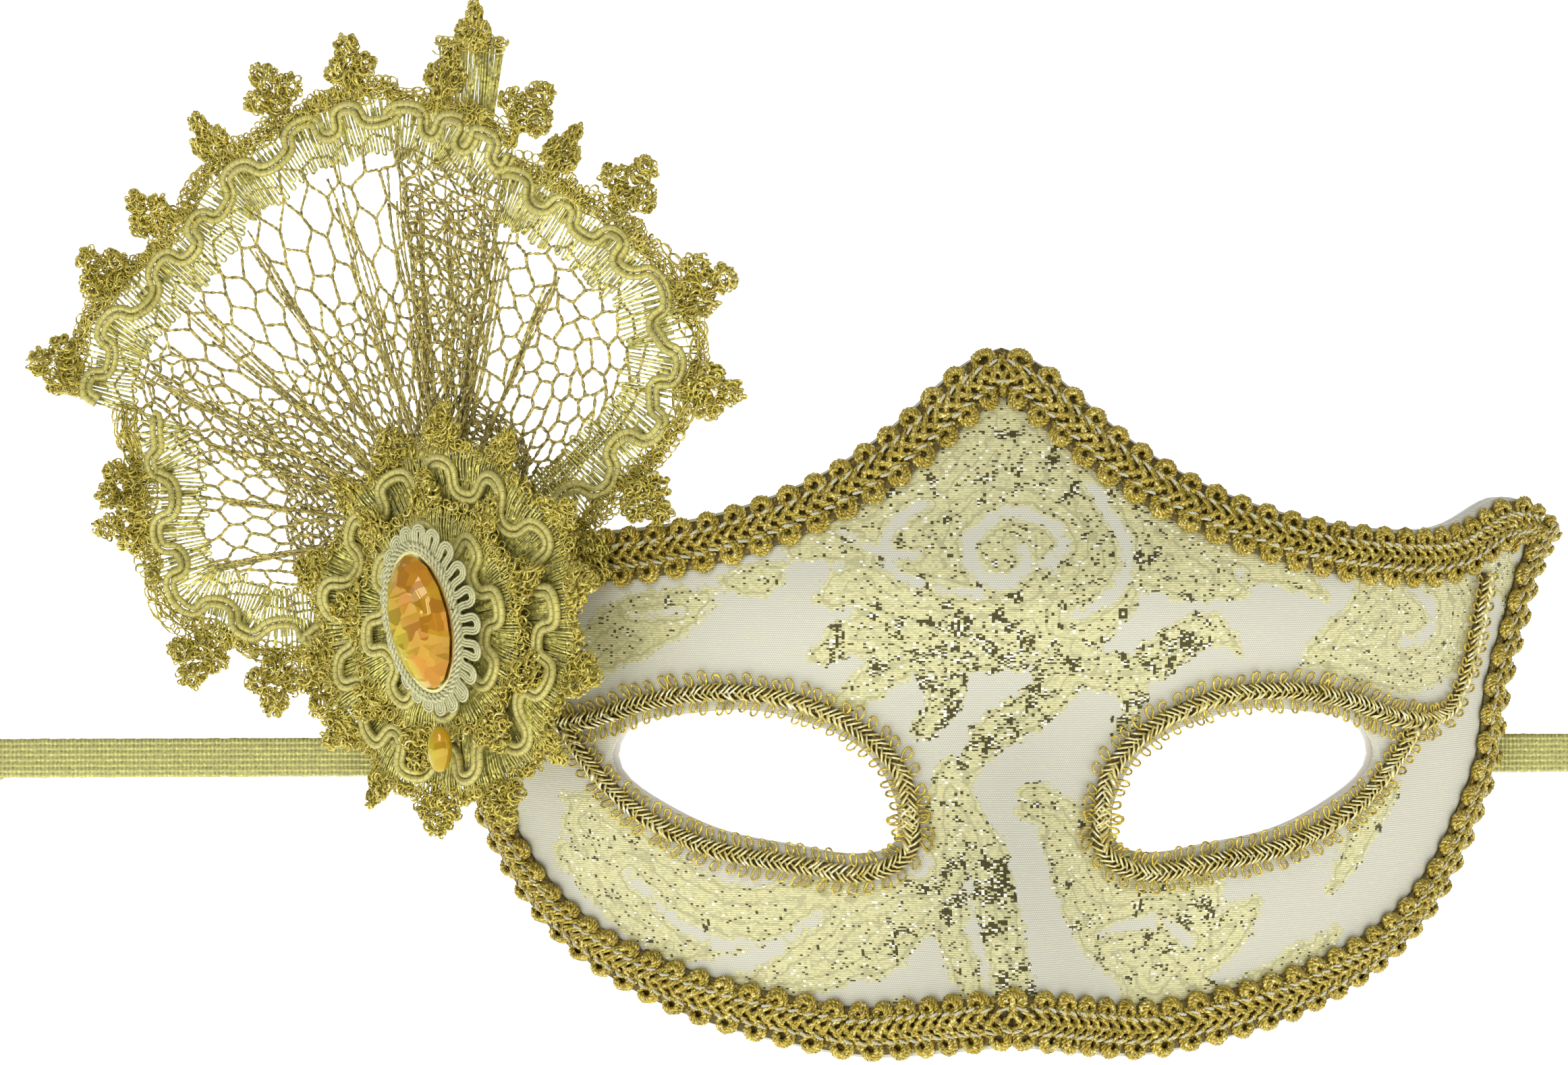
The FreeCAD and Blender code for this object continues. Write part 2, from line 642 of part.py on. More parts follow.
cup, cup_sketch = body_with_plane_sketch("jewel_cup")
add_ellipse(cup_sketch, "Sizes.jewel_length + 2 * Sizes.cup_wall", "Sizes.jewel_width + 2 * Sizes.cup_wall")
cup_pad = pad(cup, cup_sketch, "Sizes.cup_height")
doc.recompute()
full_cup = cup_pad.Shape.Volume
hollow_sketch = cup.newObject("Sketcher::SketchObject", "jewel_cup_hollow_sketch")
hollow_plane = [o for o in cup.Origin.OriginFeatures if o.Role == "XY_Plane"][0]
hollow_sketch.AttachmentSupport = (hollow_plane, [""])
hollow_sketch.MapMode = "FlatFace"
hollow_sketch.setExpression("AttachmentOffset.Base.z", "Sizes.cup_height")
add_ellipse(hollow_sketch, "Sizes.jewel_length", "Sizes.jewel_width")
hollow = cup.newObject("PartDesign::Pocket", "jewel_cup_hollow")
hollow.Profile = hollow_sketch
hollow.setExpression("Length", "Sizes.cup_height - Sizes.cup_floor")
doc.recompute()
if not cup.Shape.Volume < full_cup - 1.0:
    raise RuntimeError("the cup's hollow cut nothing")
cup.Placement = on_rosette(jewel_seat, 0.0, JEWEL_UP, JEWEL_TILT)
parts.append(cup)

ring, ring_sketch = body_with_plane_sketch("jewel_gimp_ring")
ring_hole = "2 * (Sizes.cup_wall + Sizes.layer_gap)"
add_ellipse(ring_sketch, "Sizes.jewel_length + %s" % ring_hole, "Sizes.jewel_width + %s" % ring_hole)
add_ellipse(ring_sketch, "Sizes.jewel_length + %s + 2 * Sizes.ring_width" % ring_hole,
            "Sizes.jewel_width + %s + 2 * Sizes.ring_width" % ring_hole)
pad(ring, ring_sketch, "Sizes.ring_thickness")
ring.Placement = on_rosette(jewel_seat, 0.0, JEWEL_UP, JEWEL_TILT)
parts.append(ring)

FACETS = 16
GIRDLE_SHARE = 0.35        # share of the stone's depth below its girdle
TABLE_SHARE = 0.55         # size of the flat table beside the girdle
CROWN_SHARE = 0.85         # size of the stone half way up its crown
FOOT_SHARE = 0.8           # size of the stone's flat back


def oval(share, height):
    """Closed oval polygon of the stone's facets at one height."""
    corners = []
    for i in range(FACETS + 1):
        angle = 2 * math.pi * (i % FACETS) / FACETS
        corners.append(Vector(share * size("jewel_width") / 2 * math.cos(angle),
                              share * size("jewel_length") / 2 * math.sin(angle), height))
    return Part.makePolygon(corners)


depth = size("jewel_depth")
fit = 1.0 - 2 * size("layer_gap") / size("jewel_width")
levels = [oval(fit * FOOT_SHARE, 0.0), oval(fit, depth * GIRDLE_SHARE),
          oval(fit * CROWN_SHARE, depth * (1 + GIRDLE_SHARE) / 2), oval(fit * TABLE_SHARE, depth)]
stone = feature("jewel_stone", Part.makeLoft(levels, True, True))
stone.Placement = on_rosette(jewel_seat + size("cup_floor"), 0.0, JEWEL_UP, JEWEL_TILT)
parts.append(stone)

BEAD_LINE = (4.0, -19.0)   # right and up from the rosette's centre towards the small stone
bead_reach = ((size("jewel_length") + size("bead_length")) / 2 + size("cup_wall") + size("ring_width")
              + size("bead_gap"))
bead_right, bead_up = (share * bead_reach / math.hypot(*BEAD_LINE) for share in BEAD_LINE)
bead = doc.addObject("Part::Ellipsoid", "small_stone")
bead.setExpression("Radius1", "Sizes.bead_depth / 2")
bead.setExpression("Radius2", "Sizes.bead_width / 2")
bead.setExpression("Radius3", "Sizes.bead_length / 2")
bead.Label = "small_stone"
bead_rise = size("ruffle_wave") * (abs(bead_up) / size("rosette_radius")) ** 2
bead.Placement = on_rosette(seat_height + bead_rise + size("bead_depth") / 2 + size("layer_gap"), bead_right,
                            bead_up)
parts.append(bead)

# ---------------------------------------------------------------- check and write
doc.recompute()
for thing in doc.Objects:
    if "Invalid" in thing.State or "Error" in thing.State:
        raise RuntimeError("%s did not compute: %s" % (thing.Label, thing.State))
os.makedirs("parts", exist_ok=True)
for piece in parts:
    shape = piece.Shape
    if shape.isNull() or not shape.isValid():
        raise RuntimeError("%s has no valid shape" % piece.Label)
    if not shape.Solids or shape.Volume <= 0:
        raise RuntimeError("%s is not a solid" % piece.Label)
    shape.exportStep("parts/%s.step" % piece.Label)
    box = shape.BoundBox
    print("%-22s %2d solid  %9.1f mm3  X %7.1f %7.1f  Y %7.1f %7.1f  Z %7.1f %7.1f" % (
        piece.Label, len(shape.Solids), shape.Volume, box.XMin, box.XMax, box.YMin, box.YMax,
        box.ZMin, box.ZMax))
print("strap hinge at X %.2f Y %.2f Z %.2f" % (hinge_x, hinge_y, strap_z))
print("fan root depth %.2f, rosette base %s" % (fan_depth(FAN_ROOT[0] * scale_x), rosette_base))
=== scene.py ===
"""Looks of the venetian masquerade mask: brocade, gold braid, picot trims, lace fan, rosette and elastic.

Lengths in this file's own geometry are millimetres; meshes are written in metres.
+X is the viewer's right, -Y faces the viewer and +Z is up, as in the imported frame.
"""
import math

import bpy
import numpy as np
from bpy.props import FloatProperty, FloatVectorProperty, PointerProperty
from mathutils import Matrix, Vector
from mathutils.geometry import delaunay_2d_cdt


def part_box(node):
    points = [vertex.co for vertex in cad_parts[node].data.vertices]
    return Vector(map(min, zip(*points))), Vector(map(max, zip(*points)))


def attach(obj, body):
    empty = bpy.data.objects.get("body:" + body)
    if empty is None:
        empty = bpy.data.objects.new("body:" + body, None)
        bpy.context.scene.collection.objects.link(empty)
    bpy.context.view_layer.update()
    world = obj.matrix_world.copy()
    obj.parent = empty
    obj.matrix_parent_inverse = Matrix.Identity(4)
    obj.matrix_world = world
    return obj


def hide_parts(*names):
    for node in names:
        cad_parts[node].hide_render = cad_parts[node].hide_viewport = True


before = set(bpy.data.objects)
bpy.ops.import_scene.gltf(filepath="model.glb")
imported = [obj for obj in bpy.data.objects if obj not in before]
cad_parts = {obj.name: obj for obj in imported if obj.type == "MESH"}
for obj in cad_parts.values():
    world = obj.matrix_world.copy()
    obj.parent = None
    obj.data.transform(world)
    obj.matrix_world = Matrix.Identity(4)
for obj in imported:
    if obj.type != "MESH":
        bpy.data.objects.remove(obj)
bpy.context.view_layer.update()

bl_info = {
    "name": "Venetian Mask",
    "version": (1, 0, 0),
    "blender": (4, 5, 0),
    "location": "3D View > Sidebar > Mask",
    "description": "Dresses a packed venetian masquerade mask in brocade, braid, lace and a jewelled rosette",
    "category": "Object",
}

MM = 0.001


# ---------------------------------------------------------------- the mask's face
PATTERN_HALF_WIDTH = 91.0
BROW_EDGE = [(0, 61), (4.7, 59.2), (8.7, 56.4), (16, 49.9), (26.6, 42.5), (38, 37.5), (51, 34.2),
             (62, 33.0), (72, 34), (81, 37.4), (88, 34.3), (91, 31)]
CHEEK_EDGE = [(0, -43), (9, -44.6), (20, -46.1), (30.5, -44.8), (41, -42.6), (52, -38.7),
              (63, -32), (71, -22.8), (76.2, -12.8), (79.6, -3.3), (80.9, 7), (84, 17.4),
              (87, 25.5), (91, 31)]
EYE_EDGE = [(16.2, -12.8), (16.6, -6), (20.5, 0.2), (28, 4.2), (38, 6.3), (48, 5.3), (56, 2.4),
            (57.6, -1.6), (51.5, -7.8), (41, -12.2), (29, -14.2), (19, -14.6)]
TEMPLE_RUN = [(63.5, 3.5), (68.5, 4.6), (70.6, 7.4), (72.2, 11.5), (73.4, 16), (74.4, 20.4), (75.2, 25.6)]
SHELL_THICKNESS = 1.2
LAYER_GAP = 0.05
SKIN = 0.4                 # thickness of the brocade and of the lining
BRAID_WIDTH = 9.5
BRAID_BACK = SKIN + 2 * LAYER_GAP
TRIM_WIDTH = 5.5
HEAD_HALF_WIDTH = 89.0      # half width of the head that the face wraps, at eye level
HEAD_SPREAD = 0.2          # growth of that half width for every millimetre up
WRAP_DEPTH = 86.0
WRAP_LIMIT = 0.956         # share of the half width past which the face runs straight on
NOSE_HEIGHT = 13.0
BROW_HEIGHT = 2.5
SOCKET_DEPTH = 2.5
SPAN_POINTS = 60           # points on each span of a curve before they are spread


def relief(x, z):
    """Depth of the face's front, before it is seated on the nose."""
    u = np.abs(x)
    share = u / (HEAD_HALF_WIDTH + HEAD_SPREAD * z)
    bend = np.minimum(share, WRAP_LIMIT)
    root = np.sqrt(1.0 - bend * bend)
    wrap = 1.0 - root + (share - bend) * bend / root
    lean = np.where(z > 10.0, 0.004, 0.00132)
    fall = np.clip((8.0 - z) / 48.0, 0.0, 1.0)
    ridge = fall * fall * (3.0 - 2.0 * fall) * np.exp(-(u / (8.0 + 5.0 * fall)) ** 2)
    brow = BROW_HEIGHT * np.exp(-((z - 24.0) / 9.0) ** 2 - (u / 45.0) ** 2)
    socket = SOCKET_DEPTH * np.exp(-(z / 12.0) ** 2 - ((u - 36.0) / 18.0) ** 2)
    return WRAP_DEPTH * wrap + lean * (z - 10.0) ** 2 - NOSE_HEIGHT * ridge - brow + socket


SEAT = float(relief(np.float64(0), np.float64(0))) + SHELL_THICKNESS + LAYER_GAP + SKIN


def front(x, z):
    """Depth of the papier-mache's front face."""
    return relief(x, z) - SEAT


def slope(x, z):
    """Gradient of the front face along X and Z, over one millimetre."""
    step = 0.5
    return (front(x + step, z) - front(x - step, z), front(x, z + step) - front(x, z - step))


def lie(x, z, height):
    """Points that stand a height off the papier-mache, square to it."""
    along_x, along_z = slope(x, z)
    length = np.sqrt(1.0 + along_x ** 2 + along_z ** 2)
    return np.stack([x + height * along_x / length, front(x, z) - height / length,
                     z + height * along_z / length], -1)


def smooth(points, count, closed=False):
    """Evenly spaced points on the smooth curve through a few points."""
    p = np.array(points, float)
    if closed:
        p = np.vstack([p, p[:1]])
    gaps = np.linalg.norm(np.diff(p, axis=0), axis=1)
    at = np.r_[0.0, np.cumsum(gaps)]
    last = len(p) - 1
    system = np.zeros((last + 1, last + 1))
    target = np.zeros_like(p)
    for i in range(1, last):
        system[i, i - 1:i + 2] = gaps[i - 1], 2 * (gaps[i - 1] + gaps[i]), gaps[i]
        target[i] = 6 * ((p[i + 1] - p[i]) / gaps[i] - (p[i] - p[i - 1]) / gaps[i - 1])
    if closed:
        system[0, 0], system[0, 1], system[0, last - 1] = 2 * (gaps[-1] + gaps[0]), gaps[0], gaps[-1]
        target[0] = 6 * ((p[1] - p[0]) / gaps[0] - (p[0] - p[last - 1]) / gaps[-1])
        system[last, 0], system[last, last] = 1, -1
    else:
        system[0, 0] = system[last, last] = 1
    bends = np.linalg.solve(system, target)
    where = np.linspace(0, at[-1], SPAN_POINTS * last)
    i = np.clip(np.searchsorted(at, where, side="right") - 1, 0, last - 1)
    a = ((at[i + 1] - where) / gaps[i])[:, None]
    b = 1 - a
    dense = a * p[i] + b * p[i + 1] + ((a ** 3 - a) * bends[i] + (b ** 3 - b) * bends[i + 1]) * (
        gaps[i] ** 2)[:, None] / 6
    return spread(dense, count)


def travelled(points):
    """Distance travelled along a row of points."""
    return np.r_[0.0, np.cumsum(np.linalg.norm(np.diff(points, axis=0), axis=1))]


def spread(points, count):
    """The same curve with its points evenly spaced."""
    along = travelled(points)
    where = np.linspace(0, along[-1], count)
    return np.stack([np.interp(where, along, points[:, k]) for k in range(points.shape[1])], -1)


def unit(vectors):
    """Vectors at length 1."""
    return vectors / np.maximum(np.linalg.norm(vectors, axis=-1, keepdims=True), 1e-9)


class Band:
    """A strip of the face beside an edge; places are along, across and off it, in millimetres."""

    STEPS = 16

    def __init__(self, edge, inward, width, mirror=1.0, mitre=False):
        self.mirror = mirror
        x, z = edge[:, 0].copy(), edge[:, 1].copy()
        rows = [np.stack([x, z], -1)]
        for _ in range(self.STEPS):
            along_x, along_z = slope(x, z)
            rise = along_x * inward[:, 0] + along_z * inward[:, 1]
            move = width / self.STEPS / np.sqrt(1 + rise ** 2)
            x, z = x + inward[:, 0] * move, z + inward[:, 1] * move
            if mitre:
                x = np.maximum(x, 0.0)
            rows.append(np.stack([x, z], -1))
        self.grid = np.array(rows)
        self.width = width
        middle = self.grid[self.STEPS // 2]
        self.along = travelled(lie(middle[:, 0], middle[:, 1], 1.0))
        self.length = self.along[-1]

    def at(self, along, across, off):
        """Points at places on the band."""
        along, across, off = np.broadcast_arrays(along, across, off)
        column = np.interp(along, self.along, np.arange(len(self.along)))
        i = np.clip(column.astype(int), 0, len(self.along) - 2)
        row = across / self.width * self.STEPS
        j = np.clip(row.astype(int), 0, self.STEPS - 1)
        a, b = (column - i)[..., None], (row - j)[..., None]
        low = self.grid[j, i] * (1 - a) + self.grid[j, i + 1] * a
        high = self.grid[j + 1, i] * (1 - a) + self.grid[j + 1, i + 1] * a
        flat = low * (1 - b) + high * b
        points = lie(flat[..., 0], flat[..., 1], off)
        points[..., 0] *= self.mirror
        return points


def beside(edge, side):
    """Directions square to an edge in the front plane; side is +1 for its left, -1 for its right."""
    run = unit(np.gradient(edge, axis=0))
    return np.stack([-run[:, 1] * side, run[:, 0] * side], -1)


# ---------------------------------------------------------------- threads and sheets as meshes
def add_object(name, data):
    """A new object in the scene."""
    made = bpy.data.objects.new(name, data)
    bpy.context.scene.collection.objects.link(made)
    return made


def frames(paths):
    """Side and up directions carried along paths without twisting."""
    along = unit(np.gradient(paths, axis=1))
    helper = np.where(np.abs(along[:, 0, 2:3]) < 0.8, [[0.0, 0.0, 1.0]], [[1.0, 0.0, 0.0]])
    side = unit(np.cross(along[:, 0], helper))
    sides = np.empty_like(paths)
    for i in range(paths.shape[1]):
        side = unit(side - along[:, i] * (side * along[:, i]).sum(-1, keepdims=True))
        sides[:, i] = side
    return along, sides, np.cross(along, sides)


def as_paths(paths):
    """Paths as an array of thread, point and x, y, z."""
    paths = np.asarray(paths, float)
    return paths[None] if paths.ndim == 2 else paths.reshape(-1, *paths.shape[-2:])


def lengths(paths):
    """Distance along each path at each of its points."""
    steps = np.linalg.norm(np.diff(paths, axis=1), axis=-1)
    return np.concatenate([np.zeros((len(paths), 1)), np.cumsum(steps, axis=1)], axis=1)


def plies(paths, count, offset, pitch, phase=0.0):
    """Paths of the plies of a twisted cord that follows paths."""
    paths = as_paths(paths)
    _, side, up = frames(paths)
    turn = 2 * np.pi * lengths(paths) / pitch + phase
    twisted = []
    for k in range(count):
        angle = (turn + 2 * np.pi * k / count)[..., None]
        twisted.append(paths + offset * (side * np.cos(angle) + up * np.sin(angle)))
    return np.concatenate(twisted)


class Weaver:
    """Gathers threads and sheets into one mesh with a UV map in millimetres."""

    def __init__(self):
        self.points, self.quads, self.places, self.kinds = [], [], [], []
        self.total = 0

    def _take(self, points, quads, places, kind):
        self.points.append(points.reshape(-1, 3))
        self.quads.append(quads.reshape(-1, 4) + self.total)
        self.places.append(places.reshape(-1, 4, 2))
        self.kinds.append(np.full(len(self.quads[-1]), kind, np.int32))
        self.total += len(self.points[-1])

    def thread(self, paths, radius, sides=4, kind=0, flat=1.0, broad=None):
        """Round or flat threads along paths; broad gives the direction of a flat thread's width."""
        paths = as_paths(paths)
        count, length = paths.shape[:2]
        along, side, up = frames(paths)
        if broad is not None:
            side = unit(broad - along * (broad * along).sum(-1, keepdims=True))
            up = np.cross(along, side)
        turn = 2 * np.pi * (np.arange(sides) + 0.5) / sides
        radius = np.broadcast_to(np.asarray(radius, float), (count, length))[:, :, None, None]
        ring = radius * (side[:, :, None] * np.cos(turn)[:, None]
                         + flat * up[:, :, None] * np.sin(turn)[:, None])
        points = paths[:, :, None] + ring
        first = (np.arange(count)[:, None, None] * length + np.arange(length - 1)[:, None]) * sides
        k = np.arange(sides)
        following = (k + 1) % sides
        quads = np.stack([first + k, first + following, first + sides + following, first + sides + k], -1)
        travel = lengths(paths)
        near = np.broadcast_to(travel[:, :-1, None], quads.shape[:3])
        far = np.broadcast_to(travel[:, 1:, None], quads.shape[:3])
        low = np.broadcast_to(k / sides, quads.shape[:3])
        high = low + 1 / sides
        places = np.stack([np.stack([near, low], -1), np.stack([near, high], -1),
                           np.stack([far, high], -1), np.stack([far, low], -1)], -2)
        begin = np.arange(count)[:, None] * length * sides
        end = begin + (length - 1) * sides
        caps = []
        for j in range(1, sides - 2, 2):
            caps.append(np.concatenate([begin, begin + j + 2, begin + j + 1, begin + j], 1))
            caps.append(np.concatenate([end, end + j, end + j + 1, end + j + 2], 1))
        caps = np.concatenate(caps)
        cap_places = np.zeros((len(caps), 4, 2))
        self._take(points, np.concatenate([quads.reshape(-1, 4), caps]),
                   np.concatenate([places.reshape(-1, 4, 2), cap_places]), kind)

    def sheet(self, fore, back, places, kind=0, ring=False):
        """Closed sheet between two grids of points; ring joins its last row to its first."""
        rows, columns = fore.shape[:2]
        index = np.arange(rows * columns).reshape(rows, columns)
        i = np.arange(rows if ring else rows - 1)
        j = np.arange(columns - 1)
        after = (i + 1) % rows
        corner = [index[i][:, j], index[i][:, j + 1], index[after][:, j + 1], index[after][:, j]]
        spot = [places[i][:, j], places[i][:, j + 1], places[after][:, j + 1], places[after][:, j]]
        if ring:
            girth = np.linalg.norm(fore[0, 0] - fore[-1, 0])
            for k in (2, 3):
                spot[k] = spot[k].copy()
                spot[k][-1, :, 0] = places[-1][j if k == 3 else j + 1, 0] + girth
        face = np.stack(corner, -1).reshape(-1, 4)
        face_places = np.stack(spot, -2).reshape(-1, 4, 2)
        offset = rows * columns
        quads = [face, face[:, ::-1] + offset]
        spots = [face_places, face_places[:, ::-1]]
        rims = [np.stack([index[i, 0], index[after, 0]], -1), np.stack([index[after, -1], index[i, -1]], -1)]
        if not ring:
            rims += [np.stack([index[0, j + 1], index[0, j]], -1),
                     np.stack([index[-1, j], index[-1, j + 1]], -1)]
        flat_places = places.reshape(-1, 2)
        for rim in rims:
            a, b = rim[:, 0], rim[:, 1]
            quads.append(np.stack([a, b, b + offset, a + offset], -1))
            spots.append(np.stack([flat_places[a], flat_places[b], flat_places[b], flat_places[a]], -2))
        quads, spots = np.concatenate(quads), np.concatenate(spots)
        facing = np.cross(fore[:-1, 1:] - fore[:-1, :-1], fore[1:, :-1] - fore[:-1, :-1])
        if (facing * (fore - back)[:-1, :-1]).sum() < 0:
            quads, spots = quads[:, ::-1], spots[:, ::-1]
        self._take(np.concatenate([fore.reshape(-1, 3), back.reshape(-1, 3)]), quads, spots, kind)

    def build(self, name, *finishes):
        """One object in metres with all the threads and sheets, and its finishes in the order of kinds."""
        points = np.concatenate(self.points) * MM
        quads = np.concatenate(self.quads)
        mesh = bpy.data.meshes.new(name)
        mesh.vertices.add(len(points))
        mesh.vertices.foreach_set("co", points.astype(np.float32).ravel())
        mesh.loops.add(quads.size)
        mesh.loops.foreach_set("vertex_index", quads.astype(np.int32).ravel())
        mesh.polygons.add(len(quads))
        mesh.polygons.foreach_set("loop_start", np.arange(0, quads.size, 4, dtype=np.int32))
        mesh.polygons.foreach_set("material_index", np.concatenate(self.kinds))
        mesh.polygons.foreach_set("use_smooth", np.ones(len(quads), bool))
        layer = mesh.uv_layers.new(name="UVMap")
        layer.data.foreach_set("uv", np.concatenate(self.places).astype(np.float32).ravel())
        mesh.update(calc_edges=True)
        mesh.validate()
        for key in finishes:
            mesh.materials.append(FINISHES[key])
        return add_object(name, mesh)


# ---------------------------------------------------------------- shader expressions
def maths(operation, swapped=False):
    """A method that adds one Math node; swapped puts the other value first."""
    def add_node(self, *other):
        values = (*other, self) if swapped else (self, *other)
        return self.shade.node("Math", {"operation": operation}, enumerate(values))
    return add_node


class Signal:
    """A node socket that arithmetic works on; an expression adds its Math nodes."""

    def __init__(self, shade, socket):
        self.shade, self.socket = shade, socket

    __add__ = __radd__ = maths("ADD")
    __mul__ = __rmul__ = maths("MULTIPLY")
    __sub__, __rsub__ = maths("SUBTRACT"), maths("SUBTRACT", swapped=True)
    __gt__, __lt__ = maths("GREATER_THAN"), maths("LESS_THAN")
    sin, size, part, whole = maths("SINE"), maths("ABSOLUTE"), maths("FRACT"), maths("FLOOR")

    def within(self, low, high):
        """0 at low, 1 at high, eased and held outside."""
        return self.shade.node("MapRange", {"interpolation_type": "SMOOTHSTEP"},
                               {"Value": self, "From Min": low, "From Max": high})


# Sockets of a colour Mix node.
MIX_FACTOR, MIX_FIRST, MIX_SECOND, MIX_RESULT = 0, 6, 7, 2


class Shade:
    """One material and the nodes that make it."""

    def __init__(self, name, **fixed):
        self.material = bpy.data.materials.get(name) or bpy.data.materials.new(name)
        self.material.use_nodes = True
        self.tree = self.material.node_tree
        self.tree.nodes.clear()
        self.surface = self.tree.nodes.new("ShaderNodeBsdfPrincipled")
        end = self.tree.nodes.new("ShaderNodeOutputMaterial")
        self.tree.links.new(self.surface.outputs[0], end.inputs[0])
        for socket, value in fixed.items():
            self.surface.inputs[socket.replace("_", " ")].default_value = value

    def node(self, kind, settings=(), values=(), output=0):
        """Add a node, make its settings, then its sockets, and give back one of its outputs."""
        made = self.tree.nodes.new("ShaderNode" + kind)
        for name, value in dict(settings).items():
            if name == "stops":
                while len(made.color_ramp.elements) < len(value):
                    made.color_ramp.elements.new(0.5)
                for element, (place, colour) in zip(made.color_ramp.elements, value):
                    element.position = place
                    element.color = (*colour, 1.0)
            else:
                setattr(made, name, value)
        for name, value in dict(values).items():
            if isinstance(value, Signal):
                self.tree.links.new(value.socket, made.inputs[name])
            else:
                made.inputs[name].default_value = value
        return Signal(self, made.outputs[output])

    def feed(self, **signals):
        """Link signals to the surface's own sockets."""
        for name, signal in signals.items():
            self.tree.links.new(signal.socket, self.surface.inputs[name.replace("_", " ")])
        return self

    def cover(self, colour, rough, height, strength, depth=0.1, **more):
        """Material with a colour, a roughness and a relief; depth is in millimetres."""
        normal = self.node("Bump", {}, {"Strength": strength, "Distance": depth * MM, "Height": height})
        return self.feed(Base_Color=colour, Roughness=rough, Normal=normal, **more).material

    def parts(self, kind, value, count):
        """The first few outputs of a node that takes a value apart."""
        first = self.node(kind, values={0: value})
        return [Signal(self, first.socket.node.outputs[k]) for k in range(count)]

    def spot(self):
        """Place in the object's own space."""
        return self.node("TexCoord", output="Object")

    def unrolled(self):
        """Place on the UV map, in millimetres."""
        return self.node("UVMap", {"uv_map": "UVMap"})

    def along_across(self):
        """Distance along a thread in millimetres, and the share of the way round it."""
        return self.parts("SeparateXYZ", self.unrolled(), 2)

    def noise(self, size, detail=2.0, vector=None):
        """Cloudy variation with blobs of a size in millimetres."""
        values = {"Scale": 1.0 / (size * MM), "Detail": detail, "Vector": vector or self.spot()}
        return self.node("TexNoise", values=values)

    def cells(self, size, feature="F1", vector=None, output="Distance", metric="EUCLIDEAN"):
        """Small facets of a size in millimetres."""
        values = {"Scale": 1.0 / (size * MM), "Vector": vector or self.spot()}
        return self.node("TexVoronoi", {"feature": feature, "distance": metric}, values, output)

    def ramp(self, factor, *stops):
        """Colour at a factor along stops of a place and a colour."""
        return self.node("ValToRGB", {"stops": stops}, {0: factor})

    def mix(self, factor, first, second):
        """Mix of two colours; a colour is a signal or a tuple."""
        first, second = [(*c, 1.0) if isinstance(c, tuple) else c for c in (first, second)]
        sockets = {MIX_FACTOR: factor, MIX_FIRST: first, MIX_SECOND: second}
        return self.node("Mix", {"data_type": "RGBA"}, sockets, MIX_RESULT)

    def dice(self, colour):
        """Red, green and blue of a random cell colour, as three independent numbers."""
        return self.parts("SeparateColor", colour, 3)


def linear(*rgb):
    """Scene colour of a colour given on the usual 0 to 255 scale."""
    return tuple((c / 255 / 12.92) if c <= 10 else ((c / 255 + 0.055) / 1.055) ** 2.4 for c in rgb)


def scaled(colour, share):
    """A colour made lighter or darker."""
    return tuple(min(1.0, c * share) for c in colour)


def size_of(name, meaning, value):
    """A length setting; its value is in millimetres."""
    return FloatProperty(name=name, description=meaning, default=value * MM, unit="LENGTH",
                         subtype="DISTANCE", precision=5, min=0.0)


def colour_of(name, meaning, *rgb):
    """A colour setting, given on the usual 0 to 255 scale."""
    return FloatVectorProperty(name=name, description=meaning, default=linear(*rgb), subtype="COLOR", size=3,
                               min=0.0, max=1.0)


class MaskSizes(bpy.types.PropertyGroup):
    """Sizes that set how the trimmings look."""

    braid_pitch: size_of("Braid pitch", "From one button of the edge braid to the next", 4.5)
    button_radius: size_of("Button radius", "Middle of the cord coiled into a braid button", 1.62)
    plait_pitch: size_of("Plait pitch", "From one chevron of the braid's plait to the next", 2.25)
    ply_radius: size_of("Ply radius", "One ply of the braid's twisted cord", 0.3)
    picot_pitch: size_of("Picot pitch", "From one wire loop of the eye trim to the next", 2.1)
    chevron_pitch: size_of("Chevron pitch", "From one flat strip of the eye trim to the next", 0.98)
    net_cell: size_of("Net cell", "Width of a net cell at the fan's edge", 5.4)
    net_ply: size_of("Net ply", "Radius of one filament of the net", 0.15)
    loop_pitch: size_of("Loop pitch", "From one lace loop to the next", 1.05)
    scroll_radius: size_of("Scroll cord radius", "One of the two cords that scroll along the lace", 0.55)
    tuft_pitch: size_of("Tuft pitch", "From one trefoil tuft to the next along the fan", 13.0)
    weave_pitch: size_of("Weave pitch", "One row of the brocade's ground weave", 0.32)


